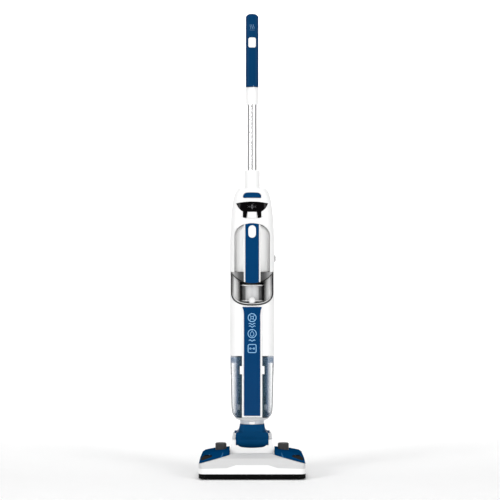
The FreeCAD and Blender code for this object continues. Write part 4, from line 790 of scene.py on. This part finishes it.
def rims():
    # cup: dark line just inside the side wall and round the bottom, painted shade for the clear wall seen edge-on
    hw, side_z, z0 = 53.0 - 1.0, 466.0, 432.8
    pts = [(-hw, -20.0, 500.0)]
    for i in range(41):
        a = math.pi * (1 + i / 40)
        c, s_ = math.cos(a), math.sin(a)
        x = hw * (abs(c) ** 0.8) * (1 if c > 0 else -1)
        z = side_z - (side_z - z0 - 1.0) * (abs(s_) ** 0.8)
        y = -20.0 - 24.0 * min(1.0, (1 - abs(x) / hw) / 0.45) ** 0.6
        pts.append((x, y, z))
    pts.append((hw, -20.0, 500.0))
    bead("cup_rim", pts, 0.75, RIM_PAINTED_SHADE, "dust_container")
    # pale line beside the dark one, a painted highlight on the clear wall
    inner = []
    for i in range(41):
        a = math.pi * (1 + i / 40)
        c, s_ = math.cos(a), math.sin(a)
        x = (hw - 3.2) * (abs(c) ** 0.8) * (1 if c > 0 else -1)
        z = side_z - (side_z - z0 - 3.9) * (abs(s_) ** 0.8)
        y = -20.0 - 24.0 * min(1.0, (1 - abs(x) / hw) / 0.45) ** 0.6 + 0.6
        inner.append((x, y, z))
    bead("cup_inner_lip", inner, 1.15, M["white_gloss"], "dust_container")
    lip = []
    for i in range(49):
        x = -48.6 + 97.2 * i / 48
        ax = max(0.0, abs(x) - 25.6)
        y = -52.0 + 24.0 - math.sqrt(max(0.0, 24.0 ** 2 - ax * ax)) + 1.7
        lip.append((x, y, ARC_CZ - math.sqrt((ARC_R + 1.1) ** 2 - x * x)))
    bead("arc_lip", lip, 1.25, M["seal_rubber"], "suction_unit")
    # tank: dark line low down and along the sides, painted shade for the clear wall seen edge-on
    def thw(z):
        t = max(0.0, min(1.0, (z - 182.0) / 118.0))
        cut = 0.0
        for (za, ca), (zb, cb) in zip(((150.2, 10.5), (153.2, 6.6), (158.2, 3.2), (166.2, 0.9), (178.2, 0.0)),
                                      ((153.2, 6.6), (158.2, 3.2), (166.2, 0.9), (178.2, 0.0), (400.0, 0.0))):
            if z <= zb:
                cut = ca + (cb - ca) * (z - za) / (zb - za)
                break
        return 52.4 + (55.3 - 52.4) * t - cut
    zs = [286.0, 260.0, 230.0, 200.0, 182.0, 176.0, 170.0, 166.2, 162.0, 158.2, 155.4, 153.2, 151.8]
    left = [(-(thw(z) - 1.1), -18.0, z) for z in zs]
    right = [(-x, y, z) for x, y, z in left[::-1]]
    mid_ = [(-36.0, -26.0, 151.4), (-28.0, -36.0, 151.3), (28.0, -36.0, 151.3), (36.0, -26.0, 151.4)]
    bead("tank_rim", left + mid_ + right, 0.75, RIM_PAINTED_SHADE, "water_tank")
    # pale bead following the outline of the suction unit, painted light over the dark gap round it
    hw, sh, top = 43.7 - 1.9, 612.0, 635.4 - 1.9
    pts = [(-hw, -40.2, z) for z in (519.5, 540.0, 560.0, 580.0, sh - 4.0)]
    # circle through (-hw, sh), (-0.72 hw, sh + 0.78 (top - sh)), (0, top)
    def circ(p, q, r):
        ax, ay, bx, by, cx, cy = *p, *q, *r
        d = 2 * (ax * (by - cy) + bx * (cy - ay) + cx * (ay - by))
        ux = ((ax * ax + ay * ay) * (by - cy) + (bx * bx + by * by) * (cy - ay) + (cx * cx + cy * cy) * (ay - by)) / d
        uy = ((ax * ax + ay * ay) * (cx - bx) + (bx * bx + by * by) * (ax - cx) + (cx * cx + cy * cy) * (bx - ax)) / d
        return ux, uy, math.hypot(ax - ux, ay - uy)
    ux, uy, rr = circ((-hw, sh), (-0.72 * hw, sh + 0.78 * (top - sh)), (0.0, top))
    a0, a1 = math.atan2(sh - uy, -hw - ux), math.atan2(top - uy, 0.0 - ux)
    if a0 < 0:
        a0 += 2 * math.pi
    arc = [(ux + rr * math.cos(a0 + (a1 - a0) * i / 16), -40.2, uy + rr * math.sin(a0 + (a1 - a0) * i / 16)) for i in range(17)]
    arc = arc[:-2]
    pts += arc
    for k, sgn in (("left", 1), ("right", -1)):
        bead("unit_seal_" + k, [(x * sgn, y, z) for x, y, z in pts], 2.0, M["housing_light"], "suction_unit")


# dark lines along the clear walls: painted shade
RIM_PAINTED_SHADE = plastic("m_rim_painted_shade", (0.055, 0.055, 0.057), 0.3, vary=0.05, spec=0.2)
strip_icons()
fascia_icons()
rims()
cover_highlight_strokes()
grip_icon()
seam_lines()
bristles()
dust_core()
cover_slot_shades()
tank_inside()
bumper_details()

# ------------------------------------------------------------------ floor, light, camera
def stage_sweep():
    """A pale floor that curves up into a backdrop."""
    bm = bmesh.new()
    prof = [(-7.0, 0.0), (4.0, 0.0)]
    r = 1.6
    for i in range(1, 17):
        a = math.pi / 2 * i / 16
        prof.append((4.0 + r * math.sin(a), r - r * math.cos(a)))
    prof.append((4.0 + r, 7.0))
    rows = []
    for x in (-7.0, 7.0):
        rows.append([bm.verts.new((x, y, z)) for y, z in prof])
    for i in range(len(prof) - 1):
        bm.faces.new((rows[0][i], rows[1][i], rows[1][i + 1], rows[0][i + 1]))
    me = bpy.data.meshes.new("studio_floor")
    bm.to_mesh(me)
    bm.free()
    for p in me.polygons:
        p.use_smooth = True
    o = bpy.data.objects.new("studio_floor", me)
    bpy.context.scene.collection.objects.link(o)
    me.materials.append(plastic("m_floor", (0.99, 0.99, 0.99), 0.9, vary=0.004, rough_vary=0.02))
    return o


stage_sweep()


def area(name, loc, target, size, power, size_y=None, color=(1, 1, 1)):
    l = bpy.data.lights.new(name, "AREA")
    l.energy = power
    l.color = color
    l.shape = "RECTANGLE"
    l.size = size
    l.size_y = size_y or size
    o = bpy.data.objects.new(name, l)
    bpy.context.scene.collection.objects.link(o)
    o.location = loc
    d = Vector(target) - Vector(loc)
    o.rotation_euler = d.to_track_quat("-Z", "Y").to_euler()
    return o


area("key_left", (-3.1, -3.5, 1.85), (0, 0, 0.60), 1.5, 103, 2.4)
area("key_right", (3.1, -3.5, 1.75), (0, 0, 0.60), 1.5, 91, 2.4)
area("top", (0, -0.6, 3.6), (0, 0, 0.0), 2.6, 42)
area("back_wall", (0, 2.0, 3.4), (0, 5.6, 1.2), 4.4, 150, 2.2)

w = bpy.data.worlds.new("studio")
bpy.context.scene.world = w
w.use_nodes = True
w.node_tree.nodes["Background"].inputs[0].default_value = (1, 1, 1, 1)
w.node_tree.nodes["Background"].inputs[1].default_value = 0.31

cam = bpy.data.cameras.new("camera")
co = bpy.data.objects.new("camera", cam)
bpy.context.scene.collection.objects.link(co)
cam.sensor_width = 36.0
cam.lens = 36.0 * 4.5 / 1.27
cam.clip_end = 50.0
co.location = (-0.00533, -4.5, 0.572)
co.rotation_euler = (math.radians(90), 0, 0)
bpy.context.scene.camera = co
bpy.context.scene.view_settings.view_transform = "Standard"
